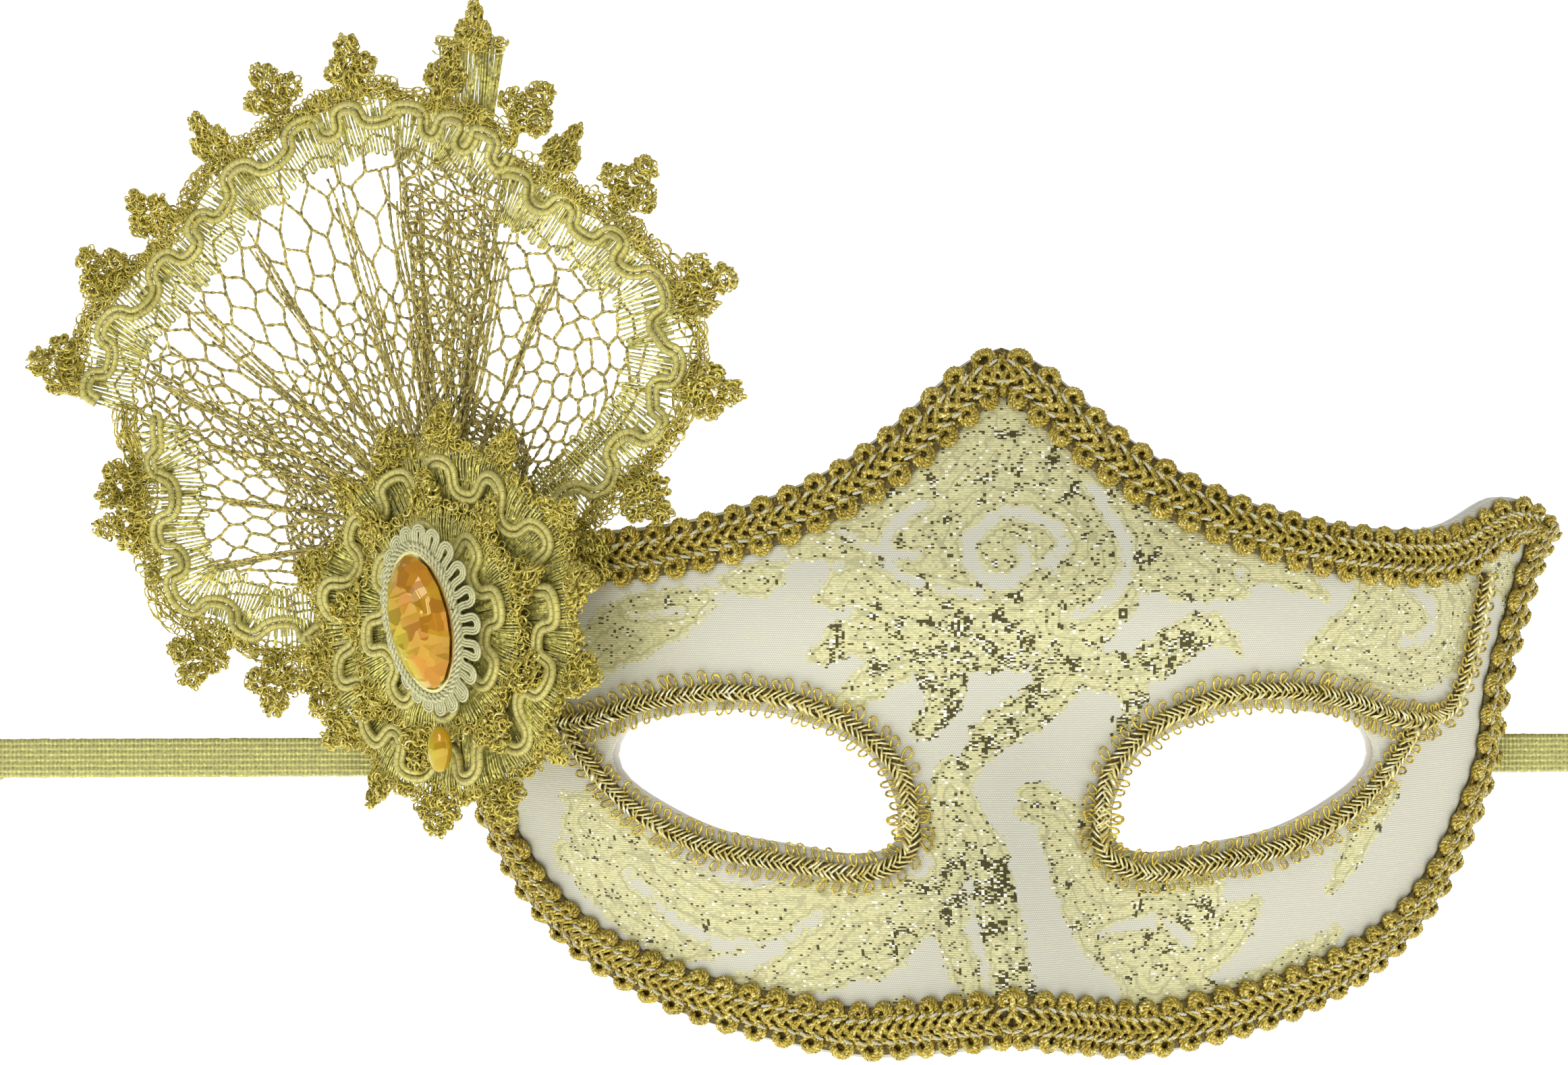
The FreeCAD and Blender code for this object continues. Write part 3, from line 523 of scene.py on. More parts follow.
class MaskColours(bpy.types.PropertyGroup):
    """Colours of the finishes."""

    ground: colour_of("Ground", "Brocade ground", 224, 222, 202)
    jacquard: colour_of("Jacquard", "Woven gold of the brocade", 226, 221, 166)
    foil_dark: colour_of("Dark foil", "Foil floats that turn away from the light", 78, 72, 36)
    gold: colour_of("Gold", "Middle tone of the gold yarn", 188, 166, 66)
    # Painted highlight of the gold yarn, tinsel and strips, and also the pale gold of the gilt cup.
    gold_light: colour_of("Light gold", "Bright tone of the gold yarn", 252, 240, 168)
    gold_dark: colour_of("Dark gold", "Shadow tone of the gold yarn", 98, 82, 26)
    lace: colour_of("Lace", "Shiny lace thread", 196, 188, 104)
    tinsel: colour_of("Tinsel", "Tinsel at the lace's rim", 206, 190, 84)
    scroll: colour_of("Scroll cord", "Wrapped cord on the lace", 222, 212, 120)
    net: colour_of("Net", "Net yarn", 184, 170, 94)
    elastic: colour_of("Elastic", "Metallic elastic", 190, 187, 112)
    stitch: colour_of("Stitching", "Cream cotton stitches", 208, 203, 168)
    amber: colour_of("Amber", "Yellow side of the stone", 192, 172, 34)
    orange: colour_of("Orange", "Orange side of the stone", 196, 132, 20)
    pale_gimp: colour_of("Pale gimp", "Serpentine gimp round the stone", 224, 222, 170)
    felt: colour_of("Felt", "Lining and backing felt", 236, 233, 222)
    paper: colour_of("Paper", "Papier-mache edge", 228, 222, 208)
    glue: colour_of("Glue", "Hot-melt glue", 222, 208, 168)


def sizes():
    """Sizes of the trimmings in millimetres, by name."""
    settings = bpy.context.scene.mask_sizes
    return {name: getattr(settings, name) / MM for name in MaskSizes.__annotations__}


def colours():
    """Colours of the finishes, by name."""
    settings = bpy.context.scene.mask_colours
    return {name: tuple(getattr(settings, name)) for name in MaskColours.__annotations__}


# ---------------------------------------------------------------- finishes
def foil_yarn(name, dark, middle, light, facet=0.32, shine=0.75, rough=0.34):
    """Twisted metallic yarn: every little facet of foil is painted its own way, from a dark painted
    reflection to a bright painted highlight.
    """
    shade = Shade(name, Specular_IOR_Level=0.6)
    facets = shade.cells(facet, output="Color")
    tone, sheen, _ = shade.dice(facets)
    cloud = shade.noise(3.5)
    level = tone * 0.78 + cloud * 0.35 - 0.07
    # dark and light are painted reflection and painted highlight on the foil facets; middle is the yarn's own
    # gold
    colour = shade.ramp(level, (0.08, dark), (0.42, middle), (0.72, middle), (0.93, light))
    return shade.cover(colour, sheen * 0.3 + (rough - 0.12), 1 - shade.cells(facet), 0.7, 0.12,
                       Metallic=(tone > 0.25) * shine)


def wrapped_cord(name, colour, tick, share=0.09, shine=0.45):
    """Cord wound with flat thread: fine turns, and a darker tick at each wrap's joint."""
    shade = Shade(name, Specular_IOR_Level=0.6, Sheen_Weight=0.15)
    along, around = shade.along_across()
    turns = (along * (1 / 0.16) + around).part()
    ridge = (turns - 0.5).size() * 2
    ticks = ((along + around * 0.3) * (1 / tick)).part() < share
    cloud = shade.noise(1.6)
    # Painted shade: darker in the grooves between the turns; the cloud is tone that differs at random.
    base = shade.mix(ridge * 0.5 + cloud * 0.5, scaled(colour, 1.12), scaled(colour, 0.62))
    tinted = shade.mix(ticks * 0.8, base, scaled(colour, 0.22))
    return shade.cover(tinted, cloud * 0.25 + 0.26, ridge * -1.0, 0.6, 0.06, Metallic=(1 - ticks) * shine)


def shiny_thread(name, colour, shine=0.45):
    """Fine glossy thread with brighter and darker stretches at random, the brightest of them painted glints.
    """
    shade = Shade(name, Specular_IOR_Level=0.6)
    tone, sheen, _ = shade.dice(shade.cells(0.45, output="Color"))
    # The top stop, near white, is a painted glint; the other stops are tone that differs at random.
    base = shade.ramp(tone, (0.05, scaled(colour, 0.42)), (0.4, colour), (0.8, scaled(colour, 1.25)),
                      (0.97, scaled(colour, 1.9)))
    return shade.cover(base, sheen * 0.35 + 0.2, tone, 0.4, 0.05, Metallic=(tone > 0.3) * shine)


def cotton(name, colour):
    """Soft cream cotton, slightly fuzzy."""
    shade = Shade(name, Sheen_Weight=0.5, Sheen_Roughness=0.6)
    fibre = shade.noise(0.25, 4.0)
    base = shade.mix(fibre, scaled(colour, 0.72), scaled(colour, 1.08))
    return shade.cover(base, fibre * 0.2 + 0.7, fibre, 0.8)


def felt(name, colour):
    """Pressed felt: matted fibres and a slightly uneven nap."""
    shade = Shade(name, Sheen_Weight=0.6, Sheen_Roughness=0.7)
    stretch = shade.node("Mapping", values={"Vector": shade.spot(), "Scale": (1.0, 1.0, 0.35)})
    fibre = shade.noise(0.35, 5.0, stretch)
    nap = shade.noise(7.0, 3.0)
    base = shade.mix(fibre * 0.6 + nap * 0.4, scaled(colour, 0.78), scaled(colour, 1.05))
    return shade.cover(base, fibre * 0.15 + 0.82, fibre + nap * 0.5, 0.7, 0.18)


def paper(name, colour):
    """Papier-mache: torn layers, pulp grain and faint stains."""
    shade = Shade(name)
    pulp = shade.noise(0.8, 6.0)
    layers = shade.cells(9.0, "DISTANCE_TO_EDGE").within(0.0, 0.08)
    base = shade.mix(pulp, scaled(colour, 0.75), scaled(colour, 1.05))
    return shade.cover(base, pulp * 0.2 + 0.72, pulp + layers * 0.5, 0.6, 0.2)


def melted_glue(name, colour):
    """Hot-melt glue: cloudy, glossy and full of small bubbles."""
    shade = Shade(name, Subsurface_Weight=0.25, Subsurface_Radius=(0.002, 0.0016, 0.001), Coat_Roughness=0.12)
    cloud = shade.noise(3.0, 3.0)
    bubbles = shade.cells(1.3).within(0.12, 0.3)
    base = shade.mix(cloud, scaled(colour, 0.82), scaled(colour, 1.12))
    return shade.cover(base, cloud * 0.2 + 0.16, bubbles + cloud, 0.5, 0.25)


def ribbed_elastic(name, colour):
    """Metallic elastic: glittering wrapped ribs with a crosswise knit."""
    shade = Shade(name, Specular_IOR_Level=0.6)
    along, across = shade.along_across()
    knit = ((along * (2 * math.pi / 0.62)).sin() * 0.5 + 0.5)
    rib = ((across * (2 * math.pi * 7)).sin() * 0.5 + 0.5)
    tone, sheen, _ = shade.dice(shade.cells(0.3, output="Color"))
    # Painted light and shade: lighter on the crowns of the ribs and knit and darker in their grooves; the
    # cells are tone at random.
    level = tone * 0.36 + rib * 0.42 + knit * 0.22
    base = shade.ramp(level, (0.12, scaled(colour, 0.4)), (0.4, scaled(colour, 0.85)), (0.72, colour),
                      (0.96, scaled(colour, 1.5)))
    return shade.cover(base, sheen * 0.3 + 0.26, knit + rib, 0.6, 0.12, Metallic=(tone > 0.45) * 0.6)


def cut_glass(name, yellow, orange, seat):
    """Amber glass over crumpled foil: warm facets, yellow on one side and orange on the other."""
    shade = Shade(name, IOR=1.5, Coat_Weight=0.25, Coat_Roughness=0.03, Specular_IOR_Level=0.35)
    place = shade.node("Mapping", {"vector_type": "TEXTURE"}, {"Vector": shade.spot(), **seat})
    across, = shade.parts("SeparateXYZ", place, 1)
    side = (across * (1 / (4.5 * MM)) + shade.noise(5.0, 1.0, place) * 0.9).within(-0.1, 0.75)
    foil = shade.cells(2.6, output="Color", vector=place, metric="MANHATTAN")
    tone, other, _ = shade.dice(foil)
    base = shade.mix(side, yellow, orange)
    faceted = shade.mix((tone > 0.5) * 0.3, base, scaled(yellow, 1.1))
    deep = shade.mix((other > 0.6) * 0.35, faceted, scaled(orange, 0.62))
    height = shade.cells(2.6, vector=place, metric="MANHATTAN")
    return shade.cover(deep, tone * 0.12 + 0.05, height, 0.35, 0.5, Metallic=other * 0.35)


def gilt(name, colour):
    """Thin gilt metal with worn, slightly scratched edges."""
    shade = Shade(name, Metallic=1.0)
    wear = shade.noise(1.2, 5.0)
    base = shade.mix(wear, scaled(colour, 0.75), scaled(colour, 1.2))
    return shade.cover(base, wear * 0.25 + 0.18, wear, 0.3, 0.05)


def brocade_cloth(name, palette, pitch):
    """Brocade: ribbed cream ground, woven gold scrolls and glittering foil floats, with painted shade in the
    weave's grooves, painted dark reflections and painted glints.

    The mesh carries scroll, the distance inside a woven scroll in millimetres, and foil, how strongly the
    floats there take painted dark reflections and painted glints, and how metallic they are."""
    shade = Shade(name, Specular_IOR_Level=0.45, Sheen_Weight=0.12)
    scroll, foil = [shade.node("Attribute", {"attribute_name": key}, output="Fac")
                    for key in ("scroll", "foil")]
    uv = shade.unrolled()
    across, up = shade.parts("SeparateXYZ", uv, 2)
    ground, gold = palette["ground"], palette["jacquard"]
    row = ((up * (1 / pitch)).part() - 0.5).size() * 2
    column = ((across * (1 / (pitch * 1.1)) + (up * (1 / pitch)).whole() * 0.5).part() - 0.5).size() * 2
    float_cell = shade.node("VectorMath", {"operation": "SNAP"}, {0: uv, 1: (pitch * 1.45, pitch * 0.8, 1.0)})
    pick, spark, third = shade.dice(shade.node("TexWhiteNoise", {"noise_dimensions": "3D"},
                                               {"Vector": float_cell}, "Color"))
    drift = shade.node("TexNoise", values={"Vector": uv, "Scale": 0.45, "Detail": 3.0}, output="Fac")
    patch = shade.node("TexNoise", values={"Vector": float_cell, "Scale": 0.33, "Detail": 2.0}, output="Fac")
    inside_by = scroll + (drift - 0.5) * 3.4 + (pick - 0.5) * 0.5
    motif = inside_by.within(-0.1, 0.1)
    feather = (((scroll + drift * 2.6) * (1 / 1.9)).part() < 0.2) * motif
    # Painted shade: the ground is darker in the grooves between its rows and columns.
    weave = shade.mix(row * 0.45 + column * 0.45, scaled(ground, 1.08), scaled(ground, 0.52))
    thin = (pick > 0.9) * (drift > 0.5)
    weave = shade.mix(thin * 0.25, weave, gold)
    woven = shade.ramp(spark, (0.0, scaled(gold, 0.8)), (0.4, gold), (0.9, scaled(gold, 1.16)))
    # Painted shade: the woven gold is darker in the grooves between rows.
    woven = shade.mix(row * 0.55, woven, scaled(gold, 0.4))
    woven = shade.mix(feather * 0.55, woven, scaled(gold, 0.5))
    cluster = (patch - 0.6 + foil * 0.26).within(0.0, 0.16)
    # Dark foil specks are painted dark reflections, most where foil is high; the near-white specks below are
    # painted glints.
    painted_dark_reflection = ((third < cluster * 0.7) + (third < 0.03 + foil * 0.1)).within(0.0, 1.0) * motif
    glint = (spark > 0.985 - cluster * 0.1) * motif
    cloth = shade.mix(motif, weave, woven)
    cloth = shade.mix(painted_dark_reflection, cloth, palette["foil_dark"])
    cloth = shade.mix(glint, cloth, (1.0, 1.0, 0.9))
    rough = 0.8 - motif * 0.36 + pick * 0.1
    height = (1 - row) * 0.6 + motif * 0.8 + column * 0.2 + spark * motif * 0.5 - feather * 0.4
    return shade.cover(cloth, rough, height, 0.5, 0.12, Metallic=motif * (cluster * 0.4 + 0.25))


def lace_ground(name, colour):
    """Dense shiny threads lying side by side, seen as one gathered layer."""
    shade = Shade(name, Specular_IOR_Level=0.6)
    along, _ = shade.along_across()
    thread = ((along * (1 / 0.5)).part() - 0.5).size() * 2
    tone, _, _ = shade.dice(shade.cells(0.6, output="Color"))
    # Painted shade between the threads and painted highlight on their crowns; tone is random.
    base = shade.ramp(tone * 0.5 + (1 - thread) * 0.5, (0.1, scaled(colour, 0.25)),
                      (0.5, scaled(colour, 0.7)), (0.9, scaled(colour, 1.15)))
    return shade.cover(base, tone * 0.2 + 0.35, 1 - thread, 0.8, 0.2, Metallic=(tone > 0.4) * 0.4)


FINISHES = {}


def make_finishes():
    """Every finish, by name."""
    c, s = colours(), sizes()
    FINISHES.update(
        braid=foil_yarn("gold_gimp", c["gold_dark"], c["gold"], c["gold_light"]),
        # The trim ground's finish is painted shade: very dark foil yarn seen in the gaps of the braid and
        # picot trims.
        braid_ground=foil_yarn("gimp_ground", scaled(c["gold_dark"], 0.5), scaled(c["gold_dark"], 0.9),
                               c["gold"], 0.4, 0.3, 0.5),
        stitch=cotton("cream_stitch", c["stitch"]),
        picot=shiny_thread("picot_wire", c["gold"], 0.6),
        # The strip's near-white light tone is a painted highlight.
        strip=foil_yarn("picot_strip", c["gold"], scaled(c["gold_light"], 0.8), (1.0, 0.98, 0.8), 0.8, 0.6),
        net=shiny_thread("net_yarn", c["net"], 0.3),
        lace=shiny_thread("lace_thread", c["lace"], 0.45),
        tinsel=foil_yarn("tinsel", scaled(c["tinsel"], 0.45), c["tinsel"], c["gold_light"], 0.42, 0.65, 0.32),
        scroll=wrapped_cord("scroll_cord", c["scroll"], 1.1),
        pale_gimp=wrapped_cord("pale_gimp", c["pale_gimp"], 0.9, 0.06, 0.35),
        ruffle=lace_ground("ruffle_ground", c["lace"]),
        elastic=ribbed_elastic("elastic", c["elastic"]),
        felt=felt("felt", c["felt"]),
        paper=paper("papier_mache", c["paper"]),
        glue=melted_glue("hot_glue", c["glue"]),
        stone=cut_glass("amber_glass", c["amber"], c["orange"], stone_seat()),
        cup=gilt("gilt_cup", c["gold_light"]),
        brocade=brocade_cloth("brocade", c, s["weave_pitch"]))


# ---------------------------------------------------------------- places on the rosette and the fan
def middle_of(node):
    """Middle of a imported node's box, in millimetres."""
    low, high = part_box(node)
    return np.array((low + high) / 2) / MM


HALF_TURN = math.radians(45)
ROSETTE_RIGHT = np.array([math.cos(HALF_TURN), -math.sin(HALF_TURN), 0.0])
ROSETTE_UP = np.array([0.0, 0.0, 1.0])
ROSETTE_OUT = np.array([-math.sin(HALF_TURN), -math.cos(HALF_TURN), 0.0])
FELT_THICKNESS = 1.5
ROSETTE_BASE = middle_of("rosette_felt") - ROSETTE_OUT * FELT_THICKNESS / 2
ROSETTE_RADIUS = 31.0
RUFFLE_HOLE = 4.0
RUFFLE_THICKNESS = 2.4
OUTER_HEIGHT = FELT_THICKNESS + LAYER_GAP
INNER_HEIGHT = OUTER_HEIGHT + RUFFLE_THICKNESS + LAYER_GAP
JEWEL_SPIN = math.radians(18)
JEWEL_HALF = (5.75, 10.5)
JEWEL_SEAT = 7.2
RING_TURNS = 22            # times that the serpentine winds in and out
RING_CLEARANCE = 0.6       # from the stone's rim to the serpentine


def stone_seat():
    """Where the stone is and how it is turned, for a Mapping node."""
    spun_right = ROSETTE_RIGHT * math.cos(JEWEL_SPIN) + ROSETTE_UP * math.sin(JEWEL_SPIN)
    spun_up = ROSETTE_UP * math.cos(JEWEL_SPIN) - ROSETTE_RIGHT * math.sin(JEWEL_SPIN)
    turn = Matrix([spun_right, spun_up, ROSETTE_OUT]).transposed()
    return {"Location": tuple(middle_of("jewel_stone") * MM), "Rotation": tuple(turn.to_euler())}


def on_rosette(right, up, out):
    """Points at places on the rosette: right, up and off the felt's back."""
    right, up, out = np.broadcast_arrays(right, up, out)
    return (ROSETTE_BASE + right[..., None] * ROSETTE_RIGHT + up[..., None] * ROSETTE_UP
            + out[..., None] * ROSETTE_OUT)


def ruffle_place(radius, height):
    """Places along a ruffle's rim, outward from it and off it, as a function."""
    def place(along, outward, off):
        angle = along / radius
        reach = radius + outward
        swell = (np.clip(reach, 0, None) / ROSETTE_RADIUS) ** 2
        wave = 3.0 * swell * (0.5 + 0.5 * np.sin(9 * angle)) + 0.9 * swell * np.sin(4 * angle + radius)
        return on_rosette(reach * np.cos(angle), reach * np.sin(angle), height + wave + off)
    return place


FAN_ROOT = (-82.8, 31.8)
FAN_ROOT_LIFT = 8.7
FAN_ROOT_DEPTH = float(front(*np.float64(FAN_ROOT))) - FAN_ROOT_LIFT
ROOT_RADIUS = 7.0
PLEAT_PITCH = 15.0         # degrees
PLEAT_HEIGHT = 1.6
# Depth of the fan's bow and the distance over which it grows, to the right and to the left of the root.
RIGHT_BOW, LEFT_BOW = (-40.0, 32.0), (50.0, 50.0)
FAN_SEED = 40
LOBES = {
    "lower": [(235, 20), (215, 23), (204, 31), (192, 39), (180, 40), (168, 41), (160, 46)],
    "left": [(159, 55), (150, 57), (140, 56), (130, 56.5), (120, 60), (108, 62), (97, 62.5)],
    "pleat": [(96, 61), (91, 59.5), (86, 57), (81, 55)],
    "right": [(80, 51.5), (68, 49), (55, 47), (45, 43), (36, 37), (28, 24), (20, 14.5), (10, 10)],
}


def fan_place(angle, radius, off):
    """Points on the pleated fan at polar places about its root; off is towards the viewer."""
    angle, radius, off = np.broadcast_arrays(angle, radius, off)
    turn = np.radians(angle)
    x = FAN_ROOT[0] + radius * np.cos(turn)
    z = FAN_ROOT[1] + radius * np.sin(turn)
    away = radius * np.cos(turn)
    right, left = [depth * (1 - np.exp(-np.abs(away) / grown)) for depth, grown in (RIGHT_BOW, LEFT_BOW)]
    bow = np.where(away > 0, right, left)
    wave = PLEAT_HEIGHT * np.sin(2 * np.pi * angle / PLEAT_PITCH) * radius / 60.0
    return np.stack([x, FAN_ROOT_DEPTH + bow + wave - off, z], -1)


def lobe_reach(outline, angle):
    """Radius of a lobe's net at angles."""
    angles = np.array([a for a, _ in outline], float)[::-1]
    radii = np.array([r for _, r in outline], float)[::-1]
    i = np.clip(np.searchsorted(angles, angle) - 1, 0, len(angles) - 2)
    share = np.clip((angle - angles[i]) / (angles[i + 1] - angles[i]), 0, 1)
    return radii[i] + (radii[i + 1] - radii[i]) * share * share * (3 - 2 * share)


RIM_BLUR = 12              # points on either side over which the rim's outward direction is averaged


def lobe_edge(outline, over=1.4):
    """Places along a lobe's rim, outward from it and off it, as a function, and the rim's length.

    The rim runs on past both ends by over degrees, so that neighbouring lobes overlap."""
    angles = np.linspace(outline[0][0] + over, outline[-1][0] - over, 240)
    reach = lobe_reach(outline, angles)
    rim = np.stack([reach * np.cos(np.radians(angles)), reach * np.sin(np.radians(angles))], -1)
    along_rim = travelled(fan_place(angles, reach, 0.0))
    aside = np.stack([-np.gradient(rim[:, 1]), np.gradient(rim[:, 0])], -1)
    blur = np.hanning(2 * RIM_BLUR + 1)
    blur /= blur.sum()
    aside = unit(np.stack([np.convolve(np.pad(a, RIM_BLUR, mode="edge"), blur, "valid")
                           for a in aside.T], -1))

    def place(along, outward, off):
        right = np.interp(along, along_rim, rim[:, 0]) + np.interp(along, along_rim, aside[:, 0]) * outward
        up = np.interp(along, along_rim, rim[:, 1]) + np.interp(along, along_rim, aside[:, 1]) * outward
        turn = np.degrees(np.arctan2(up, right))
        return fan_place(np.where(turn < -60, turn + 360, turn), np.hypot(right, up), off)
    return place, along_rim[-1]


# ---------------------------------------------------------------- lace
LOOPS, CORDS, TINSEL, GROUND = range(4)      # kinds of thread and sheet in a lace piece
LACE_FINISHES = ("lace", "scroll", "tinsel")
LOOP_RADIUS = 0.19
TINSEL_RADIUS = 0.24
# Balls of a tuft: aside, outward and girth, as shares of its span.
TREFOIL = ((0.0, 0.44, 0.24), (-0.3, 0.08, 0.23), (0.3, 0.08, 0.23), (0.0, -0.1, 0.22))


def lace_loops(weaver, place, length, pitch, inner, outer, rng, off=0.3):
    """U-shaped loops side by side, from the scroll cord to the net."""
    count = max(2, int(length / pitch))
    centre = (np.arange(count) + 0.5) * length / count + rng.normal(0, 0.08 * pitch, count)
    lean = rng.normal(0, 0.25, count)
    depth = inner + rng.normal(0, 0.35, count)
    half = 0.3 * pitch
    turn = np.linspace(0, np.pi, 5)
    template_along = np.r_[-half, -half, -half * np.cos(turn), half, half]
    share = np.r_[1.0, 0.5, np.zeros(5), 0.5, 1.0]
    end = np.r_[0, 0, -half * np.sin(turn), 0, 0]
    along = centre[:, None] + template_along + lean[:, None] * (1 - share)
    outward = depth[:, None] * (1 - share) + outer * share + end
    lift = off + rng.normal(0, 0.15, count)[:, None] + 0.35 * np.sin(share * np.pi)
    weaver.thread(place(along, outward, lift), LOOP_RADIUS, 4, LOOPS)


def scroll_cords(weaver, place, length, middle, swing, wave, radius, rng, off=1.0, closed=False):
    """Two wrapped cords side by side that meander along the lace."""
    turns = max(1, round(length / wave))
    along = np.linspace(0, length, int(length / 0.55))
    drift = 0.0 if closed else 0.5 * np.sin(along * 0.21 + rng.uniform(0, 6))
    phase = 2 * np.pi * along * turns / length + drift
    meander = middle + swing * np.sin(phase)
    lean = -0.062 * length / turns * np.sin(2 * phase)
    path = place(along + lean, meander, off + 0.3 * np.sin(phase * 0.5))
    direction = unit(np.gradient(path, axis=0))
    lift = unit(place(along + lean, meander, off + 0.5) - place(along + lean, meander, off - 0.5))
    across = unit(np.cross(lift, direction))
    for side in (-1, 1):
        weaver.thread(path + across * side * radius * 1.02, radius, 6, CORDS)


def tinsel_band(weaver, place, length, low, high, strands, rng, off=0.4):
    """Boucle tinsel: flat glittering threads that curl over each other."""
    for _ in range(strands):
        count = int(length / 0.11)
        along = np.linspace(0, length, count)
        turn = 2 * np.pi * along / rng.uniform(0.75, 1.1) + rng.uniform(0, 6)
        turns = max(4, int(length / 2.2))
        ramble = np.interp(along, np.linspace(0, length, turns), rng.uniform(0, 1, turns))
        middle = low + (high - low) * ramble
        curl = rng.uniform(0.55, 0.95)
        path = place(along + curl * np.cos(turn), middle + curl * np.sin(turn),
                     off + 0.7 * np.sin(turn * 0.37 + rng.uniform(0, 6)) + rng.normal(0, 0.1, count))
        weaver.thread(path, TINSEL_RADIUS, 4, TINSEL, flat=0.4)


def tuft(weaver, place, along, outward, span, rng, off=0.5, strands=4, count=96):
    """Trefoil tuft of curled tinsel: three balls round a fourth, the middle one furthest out."""
    here = place(along, outward, off)
    run = unit(place(along + 0.5, 0.0, off) - place(along - 0.5, 0.0, off))
    up = unit(place(along, outward, off + 0.5) - place(along, outward, off - 0.5))
    out = unit(np.cross(up, run))
    if np.dot(out, place(along, outward + 0.5, off) - here) < 0:
        out = -out
    frame_of = np.stack([run, out, up])
    for side, reach, girth in TREFOIL:
        for _ in range(strands):
            share = np.linspace(0, 1, count)
            polar = np.pi * share
            turn = 2 * np.pi * rng.uniform(2.4, 3.6) * share + rng.uniform(0, 6)
            ball = span * girth * np.interp(share, np.linspace(0, 1, 14), rng.uniform(0.55, 1.12, 14))
            point = np.stack([ball * np.sin(polar) * np.cos(turn), ball * np.cos(polar),
                              0.75 * ball * np.sin(polar) * np.sin(turn)], -1)
            curl = 2 * np.pi * rng.uniform(11, 15) * share
            point += 0.42 * np.stack([np.cos(curl), np.sin(curl), np.sin(curl * 0.7)], -1)
            spin = rng.uniform(0, np.pi)
            mixed = np.array([[np.cos(spin), np.sin(spin), 0], [-np.sin(spin), np.cos(spin), 0], [0, 0, 1.0]])
            point = point @ mixed + (side * span, reach * span, 0.0)
            weaver.thread(here + point @ frame_of, TINSEL_RADIUS, 4, TINSEL, flat=0.45)


def tuft_row(weaver, place, length, pitch, jitter, outward, spans, rng, *more):
    """Tufts along a rim; jitter is how far each strays along it, and outward its mean and spread."""
    count = max(1, round(length / pitch))
    for k in range(count):
        tuft(weaver, place, (k + 0.5) * length / count + rng.normal(0, jitter),
             outward[0] + rng.normal(0, outward[1]), rng.uniform(*spans), rng, *more)


def net_layer(weaver, outline, cell, ply, rng, reach, lift, shift, tall):
    """Twisted hexagonal net over one lobe, gathered at the fan's root."""
    start, end = outline[0][0] + 0.8, outline[-1][0] - 0.8
    radius = max(r for _, r in outline)
    columns = max(4, round(math.radians(start - end) * radius / (cell / 2)))
    rows = max(8, int((radius - ROOT_RADIUS) / (cell * tall / 3.4)))
    wander = rng.normal(0, 0.16, (columns + 4, rows + 2, 2))
    step = np.arange(rows + 1)
    long_step = np.where(step % 2 == 0, 0.7, 1.3)
    height = np.r_[0.0, np.cumsum(long_step[:-1])]
    height = (height / height[-1]) ** 0.82
    for c in range(columns + 1):
        zig = np.where(((step + 1) // 2) % 2 == 0, 1, -1) * (1 if c % 2 == 0 else -1)
        joint = c + (zig + 1) // 2
        across = np.clip(c + 0.5 * zig + shift + wander[joint, step, 0], 0, columns)
        angle = start + (end - start) * across / columns
        outer = lobe_reach(outline, angle) * reach
        radial = ROOT_RADIUS + (outer - ROOT_RADIUS) * np.clip(height + wander[joint, step, 1] * 0.06, 0, 1)
        fine = np.linspace(0, rows, rows * 5 + 1)
        path = fan_place(np.interp(fine, step, angle), np.interp(fine, step, radial),
                         lift + np.interp(fine, step, rng.normal(0, 0.35, rows + 1)))
        soft = path.copy()
        soft[1:-1] = (path[:-2] + 2 * path[1:-1] + path[2:]) / 4
        weaver.thread(plies(soft, 2, ply * 1.05, rng.uniform(2.4, 3.6), rng.uniform(0, 6)), ply, 4, LOOPS)


def fold_back(weaver, rng):
    """End of the lace edging that stands up behind the pleat."""
    def place(along, outward, off):
        return fan_place(90.5 - np.degrees(along / 69.0), 62.0 + outward, off - 2.6)
    for _ in range(2):
        lace_loops(weaver, place, 9.0, 0.7, 0.5, 12.5, rng)
    tinsel_band(weaver, place, 9.0, 11.6, 13.6, 5, rng)
    tuft(weaver, place, 4.6, 13.6, 7.6, rng)


# Angles at which the net is folded on itself, in degrees.
FOLDS = {"lower": (172.0, 190.0), "left": (98.0, 107.0, 124.0, 139.0, 152.0), "pleat": (82.5, 88.0, 94.0),
         "right": (78.0, 66.0)}


def gathered_fold(weaver, outline, angle, ply, rng):
    """Strands that run together where the net is folded, from the root towards the rim."""
    share = np.linspace(0, 1, 40)
    for _ in range(5):
        reach = rng.uniform(0.8, 1.0) * lobe_reach(outline, angle)
        swing = rng.normal(0, 0.9) + 0.5 * np.sin(share * rng.uniform(6, 14) + rng.uniform(0, 6))
        path = fan_place(angle + swing, ROOT_RADIUS + (reach - ROOT_RADIUS) * share,
                         0.3 + rng.normal(0, 0.3))
        weaver.thread(plies(path, 2, ply, 3.0, rng.uniform(0, 6)), ply * 0.95, 4, LOOPS)


# Net layers of each lobe: a patch's own outline or None, shares of the cell and the ply, then the share of
# the rim that the layer reaches, its lift, its shift in cells and how tall its cells are.
NETS = {
    "lower": [(None, 0.9, 1.0, 1.0, 0.0, 0.0, 1.7), (None, 0.6, 0.9, 0.6, -0.8, 0.4, 1.1)],
    "left": [(None, 0.95, 1.0, 1.0, 0.0, 0.0, 2.1), (None, 0.9, 0.9, 0.6, -0.9, 0.4, 1.7),
             ([(163, 51), (147, 55)], 0.6, 0.9, 1.0, -1.4, 0.2, 1.2)],
    "pleat": [(None, 0.8, 0.9, 1.0 - 0.05 * k, 1.6 - 1.0 * k, 0.3 * k, 1.0) for k in range(3)],
    "right": [(None, 1.0, 1.0, 1.0, 0.0, 0.0, 1.15), (None, 0.9, 0.9, 0.42, -0.8, 0.4, 0.8)],
}


